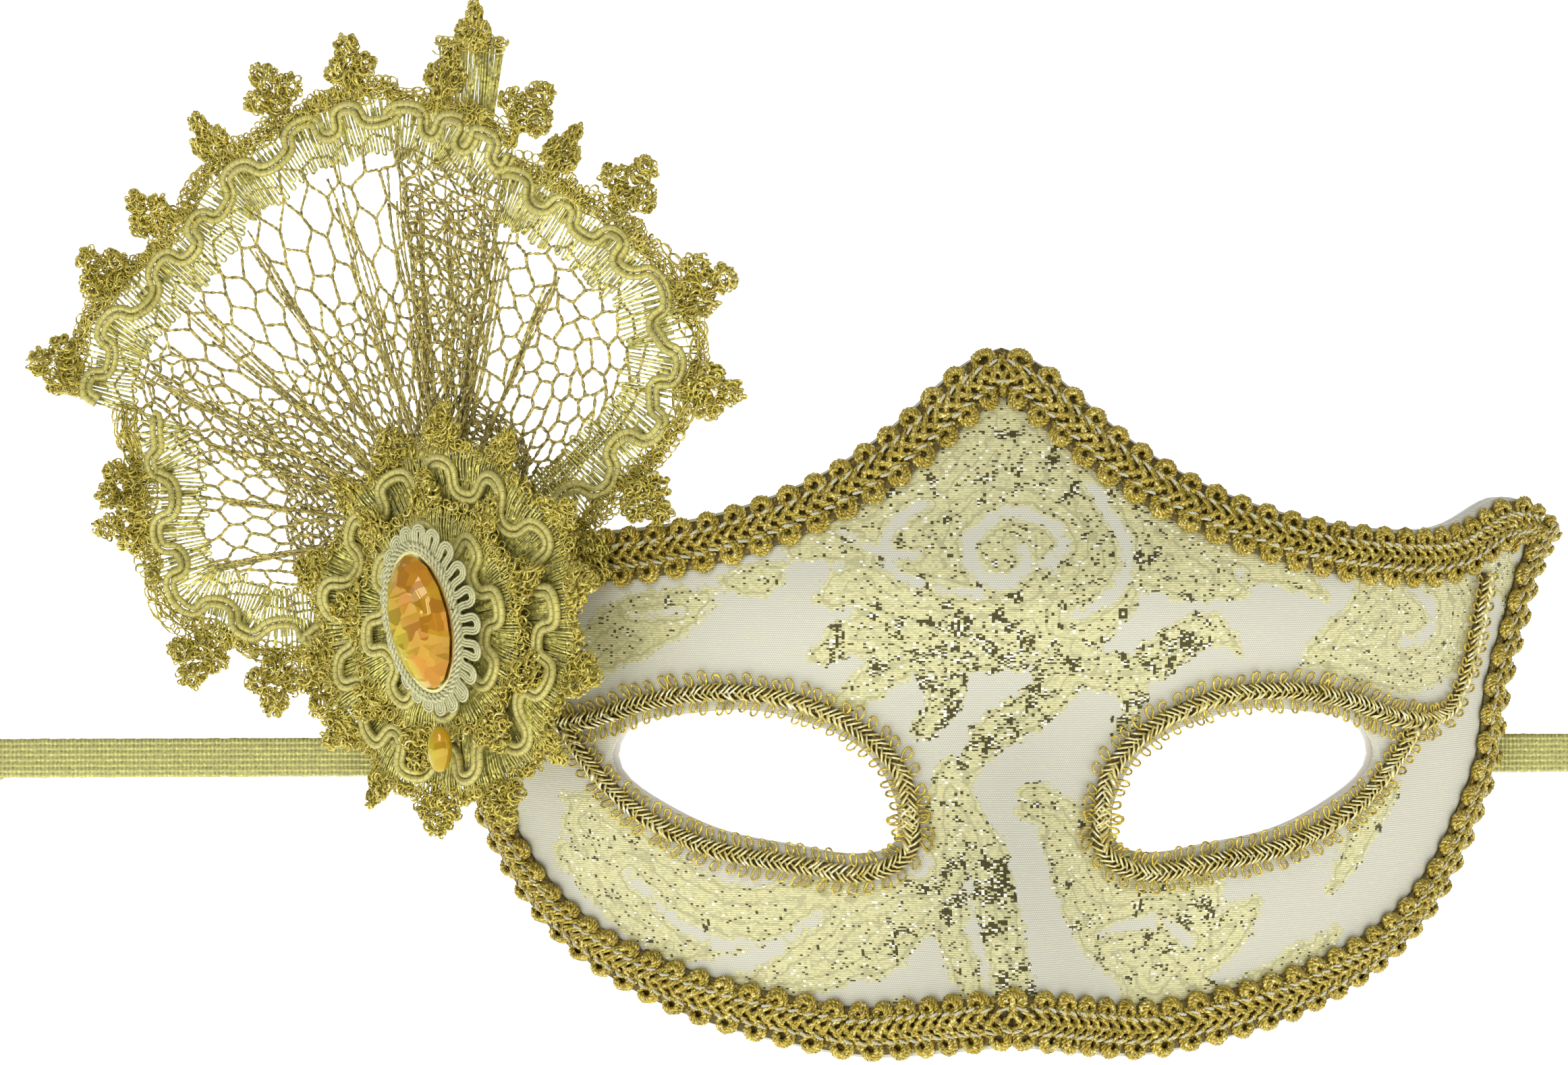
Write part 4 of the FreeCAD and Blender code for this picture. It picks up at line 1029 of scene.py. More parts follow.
def dress_fan():
    """Net and lace edging of the fan's four lobes."""
    s = sizes()
    for order, (lobe, outline) in enumerate(LOBES.items()):
        rng = np.random.default_rng(FAN_SEED + order)
        net = Weaver()
        for patch, cell, ply, *shape in NETS[lobe]:
            net_layer(net, patch or outline, s["net_cell"] * cell, s["net_ply"] * ply, rng, *shape)
        for fold in FOLDS[lobe]:
            gathered_fold(net, outline, fold, s["net_ply"], rng)
        finish(net.build("net_" + lobe, "net"), "mask", ["fan_net_" + lobe])

        lace = Weaver()
        place, length = lobe_edge(outline)
        lace_loops(lace, place, length, s["loop_pitch"], -3.4, 3.2, rng)
        lace_loops(lace, place, length, s["loop_pitch"] * 1.3, 1.5, 6.5, rng)
        scroll_cords(lace, place, length, 2.6, 1.7, 10.5, s["scroll_radius"], rng)
        tinsel_band(lace, place, length, 4.4, 7.8, 6, rng)
        tuft_row(lace, place, length, s["tuft_pitch"], 0.8, (9.0, 0.4), (8.0, 9.4), rng)
        if lobe == "pleat":
            fold_back(lace, rng)
        finish(lace.build("lace_" + lobe, *LACE_FINISHES), "mask", ["fan_lace_" + lobe])


def dress_ruffle(name, nodes, radius, height, swing, seed):
    """One gathered lace ruffle of the rosette, on its backing."""
    s = sizes()
    rng = np.random.default_rng(seed)
    place = ruffle_place(radius, height)
    girth = 2 * np.pi * radius
    ruffle = Weaver()
    rows = 216
    along = np.arange(rows)[:, None] * girth / rows
    reach = np.linspace(RUFFLE_HOLE - radius, -5.5, 9)[None]
    pinch = 0.35 * np.sin(along * 2.1)
    fore, back = place(along, reach, 0.45 + pinch * 0.4), place(along, reach, 0.05 + pinch * 0.4)
    spots = np.stack(np.broadcast_arrays(along, reach), -1)
    ruffle.sheet(fore, back, spots, GROUND, ring=True)
    lace_loops(ruffle, place, girth, s["loop_pitch"] * 0.62, -radius * 0.55, -3.0, rng, off=0.9)
    lace_loops(ruffle, place, girth, s["loop_pitch"] * 0.9, -6.5, -1.5, rng, off=1.2)
    tinsel_band(ruffle, place, girth, -3.2, -0.2, 4, rng, 0.9)
    tuft_row(ruffle, place, girth, 13.0, 0.9, (0.2, 0.5), (5.6, 7.0), rng, 1.0, 3, 72)
    scroll_cords(ruffle, place, girth, -6.2, swing * 1.5, 14.0, s["scroll_radius"], rng, 2.2, closed=True)
    finish(ruffle.build(name, *LACE_FINISHES, "ruffle"), "mask", nodes)


def serpentine_ring():
    """Three pale cords that wind in and out round the stone."""
    ring = Weaver()
    angle = 2 * np.pi * np.linspace(0, 1, RING_TURNS * 20 + 1)
    out_x, out_z = JEWEL_HALF[0] + RING_CLEARANCE, JEWEL_HALF[1] + RING_CLEARANCE
    cos, sin = math.cos(JEWEL_SPIN), math.sin(JEWEL_SPIN)

    def spun(reach, lap):
        """Right and up on the rosette of a place round the stone."""
        x, z = (out_x + reach) * np.cos(lap), (out_z + reach) * np.sin(lap)
        return x * cos - z * sin, x * sin + z * cos

    phase = RING_TURNS * angle
    wide = 1.05 + 0.85 * np.cos(angle)
    base = np.stack(spun(0.9 + wide * (1 + np.sin(phase)), angle - 0.03 * np.sin(2 * phase)), -1)
    run = unit(np.gradient(base, axis=0))
    aside = np.stack([-run[:, 1], run[:, 0]], -1)
    for strand_offset in (-0.43, 0.0, 0.43):
        line = base + aside * strand_offset
        ring.thread(on_rosette(line[:, 0], line[:, 1], JEWEL_SEAT + 1.5 - 0.12 * np.cos(phase)), 0.21, 6)
    for reach in (0.25, 0.9):
        path = on_rosette(*spun(reach, angle), JEWEL_SEAT + 1.6)
        ring.thread(plies(path, 2, 0.28, 1.8), 0.3, 4)
    finish(ring.build("serpentine_ring", "pale_gimp"), "mask", ["jewel_gimp_ring"])


# ---------------------------------------------------------------- braid and picot trims
# Rows of coiled buttons: place across the braid, shift in pitches and way round.
BUTTON_ROWS = ((2.05, 0.5, 1.0), (7.45, 0.0, -1.0))
PLAIT_MIDDLE = 4.75
# Half a chevron of the plait: places along, away from the middle and off the braid's back.
PLAIT_ALONG = (-2.2, -1.3, -0.4, 0.5, 1.3, 1.9)
PLAIT_ASIDE = (-2.2, -1.75, -1.1, -0.3, 0.5, 0.8)
PLAIT_OFF = (0.45, 0.85, 1.15, 1.35, 1.2, 0.6)
STITCH_ROWS = ((3.15, 1), (6.4, -1))
SIDES = ((-1, 0.0), (1, 0.5))          # both halves of a plait, and the shift of each in pitches
GROUND_STEP = 0.8          # from one row of a trim's ground to the next


def braid_units(weaver, band, pitch, plait, button, ply, first, last, rng):
    """Coiled buttons on both sides of a herringbone plait, on a dark ground of painted shade, with cream
    stitches.
    """
    count = max(2, round((last - first) / pitch))
    step = (last - first) / count
    share = np.linspace(0, 1, 40)
    turn = 2 * np.pi * 1.75 * share
    coil = button * (1.04 - 0.58 * share)
    off = BRAID_BACK + 0.62 + 0.75 * share ** 1.5
    for middle, shift, spin in BUTTON_ROWS:
        n = count if shift else count + 1
        centre = first + (np.arange(n) + shift) * step
        begin = rng.uniform(-0.4, 0.4, n) + (np.pi / 2) * spin
        angle = begin[:, None] + spin * turn
        along = centre[:, None] + coil * np.cos(angle)
        paths = band.at(np.clip(along, first, last), middle + coil * np.sin(angle), off)
        weaver.thread(plies(paths, 3, ply * 1.02, 1.7, 0.5), ply)
    count = max(2, round((last - first) / plait))
    step = (last - first) / count
    for side, shift in SIDES:
        centre = first + (np.arange(count) + shift) * step
        along = centre[:, None] + np.array(PLAIT_ALONG)
        paths = band.at(np.clip(along, first, last), PLAIT_MIDDLE + side * np.array(PLAIT_ASIDE),
                        BRAID_BACK + np.array(PLAIT_OFF))
        fine = np.concatenate([paths[:, :1], (paths[:, :-1] + paths[:, 1:]) / 2, paths[:, -1:]], axis=1)
        weaver.thread(plies(fine, 3, ply * 1.1, 1.9, 1.0), ply * 1.1)
    trim_ground(weaver, band, first, last, np.linspace(1.2, 8.3, 8), 0.55, 0.05, 1)
    span = np.linspace(-0.7, 0.7, 5)
    off = BRAID_BACK + 1.15 + 0.3 * np.cos(span * 2.0)
    for middle, lean in STITCH_ROWS:
        count = int((last - first) / (pitch / 2))
        centre = spaced(first, last, count) + rng.normal(0, 0.12, count)
        across = middle + lean * span * 0.35 + rng.normal(0, 0.08, (count, 1))
        paths = band.at(np.clip(centre[:, None] + span, first, last), across, off)
        weaver.thread(plies(paths, 2, 0.13, 1.0), 0.19, kind=2)


def spaced(first, last, count, shift=0.5):
    """Evenly spaced places between two ends; shift is in spaces."""
    return first + (np.arange(count) + shift) * (last - first) / count


def trim_ground(weaver, band, first, last, across, front_off, back_off, kind):
    """Thin ground that a trim's threads lie on; its dark finish is painted shade, seen in the gaps between
    the threads.
    """
    along = np.linspace(first, last, int((last - first) / GROUND_STEP))[:, None]
    grid = np.broadcast_arrays(along, across[None])
    weaver.sheet(band.at(*grid, BRAID_BACK + front_off), band.at(*grid, BRAID_BACK + back_off),
                 np.stack(grid, -1), kind)


def picot_units(weaver, band, chevron, picot, first, last, rng):
    """Wheat-ear plait of flat strips with teardrop wire loops on both sides."""
    middle = TRIM_WIDTH / 2
    count = int((last - first) / chevron)
    for side, shift in SIDES:
        centre = spaced(first, last, count, shift)
        along = centre[:, None] + np.array([-1.0, -0.2, 0.7]) + rng.normal(0, 0.12, (count, 3))
        over = middle + side * np.array([-1.35, -0.65, 0.3]) + rng.normal(0, 0.1, (count, 3))
        off = BRAID_BACK + np.array([0.5, 0.95, 0.75]) + rng.normal(0, 0.12, (count, 1))
        weaver.thread(band.at(np.clip(along, first, last), over, off), 0.44, flat=0.45)
    trim_ground(weaver, band, first, last, np.linspace(middle - 1.1, middle + 1.1, 5), 0.5, 0.0, 2)
    turn = np.linspace(-0.35, 2 * np.pi + 0.35, 15)
    swell = np.sin(turn / 2)
    for side, _ in SIDES:
        count = int((last - first) / picot)
        centre = spaced(first, last, count) + rng.normal(0, 0.25, count)
        tall = rng.uniform(0.85, 1.2, count)[:, None]
        along = centre[:, None] - 0.75 * np.sin(turn) * swell + 0.45 * tall * (1 - np.cos(turn)) / 2
        over = middle + side * (1.0 + tall * 1.05 * (1 - np.cos(turn)))
        paths = band.at(np.clip(along, first, last), over, BRAID_BACK + 0.35 + 0.35 * swell)
        weaver.thread(paths, 0.2, kind=1)


BROW_END = 0.965


def dress_edges():
    """Edge braid along the brow and round both cheeks."""
    s = sizes()
    brow = smooth(BROW_EDGE, 240)
    brow = brow[brow[:, 0] < BROW_END * PATTERN_HALF_WIDTH]
    inward = beside(brow, -1)
    inward[0] = (0.0, -1.0)
    cheek = smooth(CHEEK_EDGE, 300)
    rising = beside(cheek, 1)
    rising[0] = (0.0, 1.0)
    detail = (s["braid_pitch"], s["plait_pitch"], s["button_radius"], s["ply_radius"])
    palette = ("braid", "braid_ground", "stitch")
    top = Weaver()
    for mirror in (1.0, -1.0):
        band = Band(brow, inward, BRAID_WIDTH, mirror, mitre=True)
        braid_units(top, band, *detail, 0.0, band.length, np.random.default_rng(11))
    finish(top.build("edge_braid_top", *palette), "mask", ["top_braid"])
    for name, mirror in (("right", 1.0), ("left", -1.0)):
        lower = Weaver()
        band = Band(cheek, rising, BRAID_WIDTH, mirror, mitre=True)
        braid_units(lower, band, *detail, 0.0, band.length, np.random.default_rng(12))
        finish(lower.build("edge_braid_" + name, *palette), "mask", ["lower_braid_" + name])


# Middle lines of the picot trim above and below the right eye.
UPPER_STRAND = [(13.9, -11), (14.4, -5), (18.8, 1.6), (27.4, 6.8), (38, 9.1), (48.5, 8.2), (57, 5.6),
                *TEMPLE_RUN]
LOWER_STRAND = [(14.3, -8), (14.2, -14), (18, -17.2), (29, -16.9), (41.6, -14.9), (52.6, -9.8), (59, -3.6),
                (63.5, 2.8)]


def strand(points, mirror):
    """Band of the picot trim along its middle line."""
    line = smooth(points, 260)
    aside = beside(line, 1)
    return Band(line - aside * TRIM_WIDTH / 2, aside, TRIM_WIDTH, mirror)


def dress_eyes():
    """Picot trim round both eyes and up the temples."""
    s = sizes()
    palette = ("strip", "picot", "braid_ground")
    detail = (s["chevron_pitch"], s["picot_pitch"])
    for name, mirror in (("right", 1.0), ("left", -1.0)):
        trim, temple = Weaver(), Weaver()
        upper, lower = strand(UPPER_STRAND, mirror), strand(LOWER_STRAND, mirror)
        corner = upper.length - travelled(lie(*np.array(TEMPLE_RUN, float).T, 1.0))[-1]
        picot_units(trim, upper, *detail, 0.0, corner, np.random.default_rng(21))
        picot_units(trim, lower, *detail, 0.0, lower.length, np.random.default_rng(23))
        picot_units(temple, upper, *detail, corner, upper.length, np.random.default_rng(22))
        finish(trim.build("picot_trim_" + name, *palette), "mask", ["eye_trim_" + name])
        finish(temple.build("picot_temple_" + name, *palette), "mask", ["temple_trim_" + name])


def finish(piece, body, nodes):
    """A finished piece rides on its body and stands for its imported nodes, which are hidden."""
    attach(piece, body)
    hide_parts(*nodes)
    return piece


# ---------------------------------------------------------------- brocade and lining
# Woven scrolls: points across and up the face, each with its half width.
SCROLLS = [
    [(2, 52, 1.5), (4, 45, 5), (3, 38, 8), (-4, 33, 8), (-13, 33, 6.5), (-22, 32, 4), (-31, 30.5, 2)],
    [(6, 42, 5), (14, 36, 6), (22, 30, 5.5), (29, 26.5, 4), (36, 24, 1.2)],
    [(16, 31, 6), (13, 24, 6.5), (4, 19, 6), (-6, 18, 5.5), (-14, 21, 5), (-22, 25, 3.5), (-27, 23, 1.5)],
    [(0, 26, 4), (6, 20, 5), (8, 13, 4), (4, 7, 3.2), (-2, 3, 3), (-6, -3, 1.4)],
    [(-9, 17, 4), (-16, 14, 3.2), (-22, 9, 2.4), (-28, 6, 1)],
    [(8, 15, 4), (17, 12, 3), (24, 15, 3.2), (31, 18.5, 2.4), (35, 15.5, 0.8)],
    [(17, 12, 2.4), (19, 7, 2), (16, 3, 0.8)],
    [(-7, -8, 1), (-5, -15, 4.2), (-4, -23, 5.4), (-2, -31, 4.6), (1, -38, 2.6), (2, -42, 1)],
    [(-8, -20, 3.4), (-14, -24, 4), (-18, -30, 3.4), (-16, -37, 2)],
    [(6, -12, 1.6), (9, -18, 3), (13, -24, 4.5), (19, -29, 5.5), (27, -30, 5), (34, -27, 3.4),
     (38, -23, 1.4)],
    [(20, -22, 3.4), (26, -19, 3.2), (31, -21, 2.4), (30, -25, 1.6)],
    [(26, -34, 3.2), (32, -37, 2.6), (38, -36, 1)],
    [(61, -7, 1.2), (57.5, -11, 2.2), (53.5, -17, 2), (50.5, -22, 0.8)],
    [(-22, -19, 1.5), (-30, -23, 4), (-39, -25, 5), (-47, -22, 4), (-52, -17, 2.4), (-58, -13, 2.4),
     (-64, -8, 1)],
    [(-24, -32, 2), (-32, -34, 3.4), (-41, -33, 4), (-50, -28, 3.6), (-58, -22, 3), (-64, -16, 2)],
    [(-47, 20, 1), (-51, 21, 3), (-57, 18.5, 3.2), (-63, 14.5, 2)],
    [(-33, 27.5, 1), (-37, 25.5, 2.6), (-41, 25.5, 1)],
    [(36, 26, 0.8), (41, 27, 2.4), (46, 25, 1.8), (49, 22.5, 0.6)],
    [(49, 12.5, 0.8), (54, 13, 2.8), (60, 11, 3), (67, 12, 3.6), (71.5, 18, 3.8), (69.5, 25, 3.4),
     (63, 27, 3), (57, 24, 3), (55.5, 19, 2.6), (59, 15.6, 2)],
    [(79, 26, 3), (82, 21, 2.4), (80, 16, 1)],
    [(-1, 50, 3), (-6, 45, 5), (-12, 40, 5), (-20, 36, 4), (-26, 33, 2)],
    [(5, 50, 3), (10, 45, 4.5), (16, 39, 4), (24, 34, 3.5), (33, 30.5, 3), (42, 28.5, 2)],
    [(-14, -22, 4), (-22, -27, 6), (-32, -30, 7), (-42, -27, 7), (-52, -20, 6), (-61, -11, 4)],
    [(-8, -2, 2), (-8, -8, 4), (-6, -15, 5.5), (-5, -24, 6), (-4, -33, 4)],
    [(4, -7, 3), (11, -12, 4), (17, -20, 6), (24, -27, 7), (22, -34, 5)],
    [(47, 14, 2), (54, 17, 4.5), (61, 19, 6.5), (68, 20, 5)],
    [(-61, 14, 3.5), (-55, 18, 4.6), (-48, 21, 3.4), (-43, 23.5, 1)],
    [(-27, 15, 2), (-21, 18, 3.4), (-13, 16, 4), (-9, 9, 3), (-12, 4, 2)],
    [(33, -36, 1), (40, -35, 2.4), (47, -31, 2), (52, -28, 0.8)],
]
# Ground that shows inside the scrolls as curling veins.
VEINS = [
    [(8, 33, 0.8), (3, 35.5, 0.9), (-2.5, 34.5, 1), (-5.5, 30.5, 1.1), (-3.5, 26.6, 1.1), (1, 26, 1),
     (3, 28.8, 0.9), (1, 31, 0.7)],
    [(12, 41, 0.6), (16, 35, 0.9), (18, 29, 1), (15, 23, 0.9), (9, 20.5, 0.6)],
    [(-12, 37, 0.6), (-17, 33, 0.9), (-17, 28, 0.8), (-12, 25, 0.6)],
    [(-24, 33, 0.4), (-19, 30, 0.6), (-13, 29.5, 0.5)],
    [(63, 23.6, 0.6), (66.5, 21, 0.8), (66, 16.5, 0.8), (62, 15.5, 0.6)],
    [(14, -27, 0.5), (20, -25.5, 0.8), (25, -26, 0.8), (28, -29, 0.6)],
    [(-33, -28.5, 0.5), (-41, -29, 0.8), (-49, -25, 0.8), (-55, -19, 0.5)],
    [(-6, -18, 0.4), (-5, -26, 0.7), (-3, -34, 0.5)],
    [(-55, 20, 0.3), (-51, 20.6, 0.5), (-48, 20.8, 0.3)],
    [(2, -17, 0.6), (5, -22, 1.8), (6.5, -28, 2.4), (8, -34, 1.6)],
    [(-46, -33, 0.8), (-39, -32, 1.5), (-33, -29, 0.8), (-27, -24, 0.5)],
    [(-14, -33, 1.4), (-19, -36, 1.8), (-24, -38, 1)],
]
# Patches where the foil floats carry painted dark reflections, more painted glints and more metal: middle,
# span and share.
FOIL_REFLECTION_PATCHES = [(-4, 10, 15, 0.85), (-3, -20, 8, 0.95), (6, -34, 9, 0.85), (24, 15, 9, 0.8), (4, 42, 11, 0.35),
        (16, 30, 12, 0.35), (-13, 32, 10, 0.25), (-14, -30, 8, 0.4), (17, 4, 7, 0.7), (26, -24, 7, 0.5),
        (-22, 14, 9, 0.5)]
FAR_OUTSIDE = -99.0
RIM_MARGIN = 1.2           # by which the cloth stays inside the shell's edge


def within_strokes(x, z, strokes):
    """How far inside the nearest stroke each place lies, in millimetres."""
    best = np.full(x.shape, FAR_OUTSIDE)
    for stroke in strokes:
        for px, pz, half in smooth(stroke, 14 * len(stroke)):
            best = np.maximum(best, half - np.hypot(x - px, z - pz))
    return best


def inside(places, loop):
    """Whether places lie inside a closed loop."""
    x, z = places[:, :1], places[:, 1:]
    ax, az = loop[:, 0], loop[:, 1]
    bx, bz = np.roll(ax, -1), np.roll(az, -1)
    where = ax + (bx - ax) * (z - az) / np.where(bz == az, 1e-9, bz - az)
    return (((az > z) != (bz > z)) & (x < where)).sum(1) % 2 == 1


def on_face(places, loops):
    """Whether places lie inside the first loop and outside the others."""
    outline, *eyes = loops
    shown = inside(places, outline)
    for eye in eyes:
        shown &= ~inside(places, eye)
    return shown


def face_loops(spacing):
    """Closed outlines of the face and of its two eye openings."""
    shrink = 1.0 - RIM_MARGIN / PATTERN_HALF_WIDTH
    brow = smooth(BROW_EDGE, int(110 / spacing)) * shrink
    cheek = smooth(CHEEK_EDGE, int(135 / spacing)) * shrink
    right_side = np.vstack([brow, cheek[::-1][1:]])
    left_side = right_side[::-1][1:-1] * (-1, 1)
    eye = smooth(EYE_EDGE, int(105 / spacing), closed=True)[:-1]
    return [np.vstack([right_side, left_side]), eye, eye * (-1, 1)]


def skin(name, height, spacing, material):
    """A cloth layer over the whole face, with both eye openings."""
    loops = face_loops(spacing)
    reach_x, low_z, high_z = PATTERN_HALF_WIDTH, -47.0, 61.0
    rows = np.arange(low_z, high_z, spacing * 0.87)
    cells = []
    for order, z in enumerate(rows):
        x = np.arange(-reach_x + (order % 2) * spacing / 2, reach_x, spacing)
        cells.append(np.stack([x, np.full_like(x, z)], -1))
    grid = np.concatenate(cells)
    keep = on_face(grid, loops)
    rim = np.vstack(loops)
    keep &= np.array([np.min(np.hypot(*(rim - p).T)) > spacing * 0.6 for p in grid])
    points = np.vstack([rim, grid[keep]])
    edges, start = [], 0
    for loop in loops:
        count = len(loop)
        edges += [(start + i, start + (i + 1) % count) for i in range(count)]
        start += count
    flat, _, faces = delaunay_2d_cdt([Vector(p) for p in points], edges, [], 1, 1e-6)[:3]
    flat, faces = np.array(flat), np.array(faces)
    faces = faces[on_face(flat[faces].mean(1), loops)]
    x, z = flat[:, 0], flat[:, 1]
    corners = flat[faces]
    turn = np.cross(corners[:, 1] - corners[:, 0], corners[:, 2] - corners[:, 0])
    faces[turn < 0] = faces[turn < 0][:, ::-1]
    mesh = bpy.data.meshes.new(name)
    mesh.from_pydata((lie(x, z, height) * MM).tolist(), [], faces.tolist())
    steps = np.linspace(0, 1, 33)
    pace = np.sqrt(1 + slope(x[:, None] * steps, z[:, None] + 0 * steps)[0] ** 2)
    across = x * (pace[:, 1:] + pace[:, :-1]).mean(1) / 2
    layer = mesh.uv_layers.new(name="UVMap")
    corner_points = np.zeros(len(mesh.loops), np.int32)
    mesh.loops.foreach_get("vertex_index", corner_points)
    layer.data.foreach_set("uv", np.stack([across, z], -1)[corner_points].astype(np.float32).ravel())
    scroll = np.minimum(within_strokes(x, z, SCROLLS), -within_strokes(x, z, VEINS))
    # foil: where the brocade's floats carry painted dark reflections and painted glints.
    foil = np.zeros_like(x)
    for at_x, at_z, span, share in FOIL_REFLECTION_PATCHES:
        foil = np.maximum(foil, share * np.exp(-((x - at_x) ** 2 + (z - at_z) ** 2) / span ** 2))
    for key, values in (("scroll", scroll), ("foil", foil)):
        mesh.attributes.new(key, "FLOAT", "POINT").data.foreach_set("value", values.astype(np.float32))
    mesh.polygons.foreach_set("use_smooth", np.ones(len(mesh.polygons), bool))
    mesh.materials.append(material)
    mesh.validate()
    piece = add_object(name, mesh)
    bpy.ops.object.select_all(action="DESELECT")
    bpy.context.view_layer.objects.active = piece
    piece.select_set(True)
    wall = piece.modifiers.new("thickness", "SOLIDIFY")
    wall.thickness = SKIN * MM
    wall.offset = 0.0
    bpy.ops.object.modifier_apply(modifier=wall.name)
    return piece


def dress_face():
    """Brocade cover and felt lining."""
    check_seat()
    cover_height = LAYER_GAP + SKIN / 2
    lining_height = -SHELL_THICKNESS - LAYER_GAP - SKIN / 2
    for name, node, slot, look, height, spacing in (
            ("brocade_cloth", "brocade_cover", "brocade", "brocade", cover_height, 1.0),
            ("felt_lining", "inner_lining", "felt_lining", "felt", lining_height, 2.0)):
        cloth = finish(skin(name, height, spacing, FINISHES[look]), "mask", [node])


# Places across and up the face where its seat is checked, and how far off it may be.
SEAT_PLACES = ((0.0, 20.0), (30.0, 25.0), (-50.0, 20.0), (5.0, -30.0), (-60.0, -15.0))
SEAT_TOLERANCE = 0.3


def check_seat():
    """Stop if this file's face doesn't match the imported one."""
    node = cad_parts["brocade_cover"]
    for x, z in SEAT_PLACES:
        hit, where, _, _ = node.ray_cast(Vector((x * MM, -0.2, z * MM)), Vector((0, 1, 0)))
        along_x, along_z = slope(x, z)
        wanted = front(x, z) - (LAYER_GAP + SKIN) * math.sqrt(1 + along_x ** 2 + along_z ** 2)
        if not hit or abs(where.y / MM - wanted) > SEAT_TOLERANCE:
            raise RuntimeError("the packed brocade is not where this file's face is, at %g, %g" % (x, z))


# ---------------------------------------------------------------- elastic
STRAP_WIDTH = 6.0
STRAP_THICKNESS = 0.9
STRAP_Z = -3.2
TAB_END = 78.2
TAB_LENGTH = 16.0
TAB_BACK, TAB_MIDDLE, TAB_FRONT = -2.2, -1.7, -1.2    # heights off the papier-mache's front
KNOT_SPAN = 7.0
ELASTIC_SEED = 31
FORE, UP = np.array([0, -1.0, 0]), np.array([0, 0, 1.0])


def ribbon(weaver, spine, broad, outward, rng):
    """Ribbed flat elastic along a spine; broad is its width's direction and outward its front's."""
    columns = 43
    share = np.linspace(-1, 1, columns)
    round_off = np.sqrt(np.clip(1 - np.abs(share) ** 6, 0.04, 1))
    rib = 1 - 0.16 * np.cos(share * np.pi * 7) ** 2
    thick = STRAP_THICKNESS / 2 * round_off * rib
    wide = share * STRAP_WIDTH / 2
    wobble = 1 + rng.normal(0, 0.012, (len(spine), 1))
    base = spine[:, None] + broad[:, None] * (wide * wobble)[..., None]
    lift = outward[:, None] * np.broadcast_to(thick[None], wobble.shape[:1] + thick.shape)[..., None]
    along = np.broadcast_to(travelled(spine)[:, None], base.shape[:2])
    places = np.stack([along, np.broadcast_to((share + 1) / 2, along.shape)], -1)
    weaver.sheet(base + lift, base - lift, places)


def overhand_knot(weaver, centre, span):
    """Soft knot of the elastic: a fat trefoil pulled tight, with a short cut tail."""
    turn = np.linspace(0, 2 * np.pi, 120)
    x = (np.sin(turn) + 2 * np.sin(2 * turn)) * span * 0.26
    y = (np.cos(turn) - 2 * np.cos(2 * turn)) * span * 0.16
    z = -np.sin(3 * turn) * span * 0.26
    path = centre + np.stack([x, y, z], -1)
    broad = np.broadcast_to(np.array([0.0, 0.35, 1.0]), path.shape)
    weaver.thread(path, 1.9, 8, flat=0.4, broad=broad)
    side = np.sign(centre[0])
    tail = np.linspace(0, 1, 8)[:, None]
    path = centre + np.array([side * span * 0.1, -0.2, 0.0]) + tail * np.array([side * 4.2, 0.2, -0.9])
    weaver.thread(path, 2.3, 8, flat=0.2, broad=np.broadcast_to(UP, path.shape))


def string_elastic():
    """The two elastics, their knots and the ends glued inside the rim."""
    for name, side in (("left", -1.0), ("right", 1.0)):
        rng = np.random.default_rng(ELASTIC_SEED)
        low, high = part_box("strap_" + name)
        hinge = np.array([(high.x if side < 0 else low.x) / MM - side * -STRAP_THICKNESS / 2, 0, STRAP_Z])
        hinge[1] = (low.y + high.y) / 2 / MM
        far = (low.x if side < 0 else high.x) / MM
        length = abs(far - hinge[0])
        share = np.linspace(0, 1, max(20, int(length / 0.5)))[:, None]
        spine = hinge + share * np.array([side * length, 0, 0])
        band = Weaver()
        ribbon(band, spine, np.broadcast_to(UP, spine.shape), np.broadcast_to(FORE, spine.shape), rng)
        strap = band.build("elastic_" + name, "elastic")
        finish(strap, name + "_elastic", ["strap_" + name])
        tie = Weaver()
        overhand_knot(tie, middle_of("strap_knot_" + name) - np.array([side * 0.6, 0, 0]), KNOT_SPAN)
        knot = tie.build("elastic_knot_" + name, "elastic")
        finish(knot, name + "_elastic", ["strap_knot_" + name])
        x = np.linspace(TAB_END, 40.0, 600)
        kept = x[travelled(lie(x, np.full_like(x, STRAP_Z), TAB_MIDDLE)) <= TAB_LENGTH][::6]
        inner, outer = [lie(kept, np.full_like(kept, STRAP_Z), height) for height in (TAB_BACK, TAB_FRONT)]
        tab = Weaver()
        flip = np.array([side, 1, 1])
        ribbon(tab, inner * flip, np.broadcast_to(UP, inner.shape), unit(inner - outer) * flip, rng)
        finish(tab.build("elastic_end_" + name, "elastic"), "mask", ["strap_tab_" + name])


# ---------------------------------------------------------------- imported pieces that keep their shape
def paint_packed():
    """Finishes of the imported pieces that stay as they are."""
    for node, finish_name in (("mask_shell", "paper"), ("glue_pad_right", "glue"), ("glue_pad_left", "glue"),
                              ("rosette_felt", "felt"), ("jewel_cup", "cup"), ("jewel_stone", "stone"),
                              ("small_stone", "stone")):
        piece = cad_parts[node]
        piece.data.materials.clear()
        piece.data.materials.append(FINISHES[finish_name])


# ---------------------------------------------------------------- stage
VIEW_DISTANCE = 1.2
VIEW_AIM = (-0.033, 0.0, 0.03305)
VIEW_TURN = math.radians(3.3)
VIEW_DROP = math.radians(2.0)
VIEW_WIDTH = 0.2324
SENSOR = 36.0
FLOOR_HEIGHT = -0.078
WALL_DEPTH = 4.0
WORLD_STRENGTH = 0.38
LIGHT_AIM = (-0.03, 0.0, 0.03)
# Lights: name, place, aim, width, height and power.
LIGHTS = (("key", (-0.5, -0.9, 0.75), LIGHT_AIM, 0.4, 0.4, 3.2),
          ("fill", (0.8, -0.7, 0.35), LIGHT_AIM, 0.3, 0.5, 0.8),
          ("top", (0.0, 0.1, 1.0), (-0.03, 0.02, 0.03), 0.5, 0.3, 1.1))


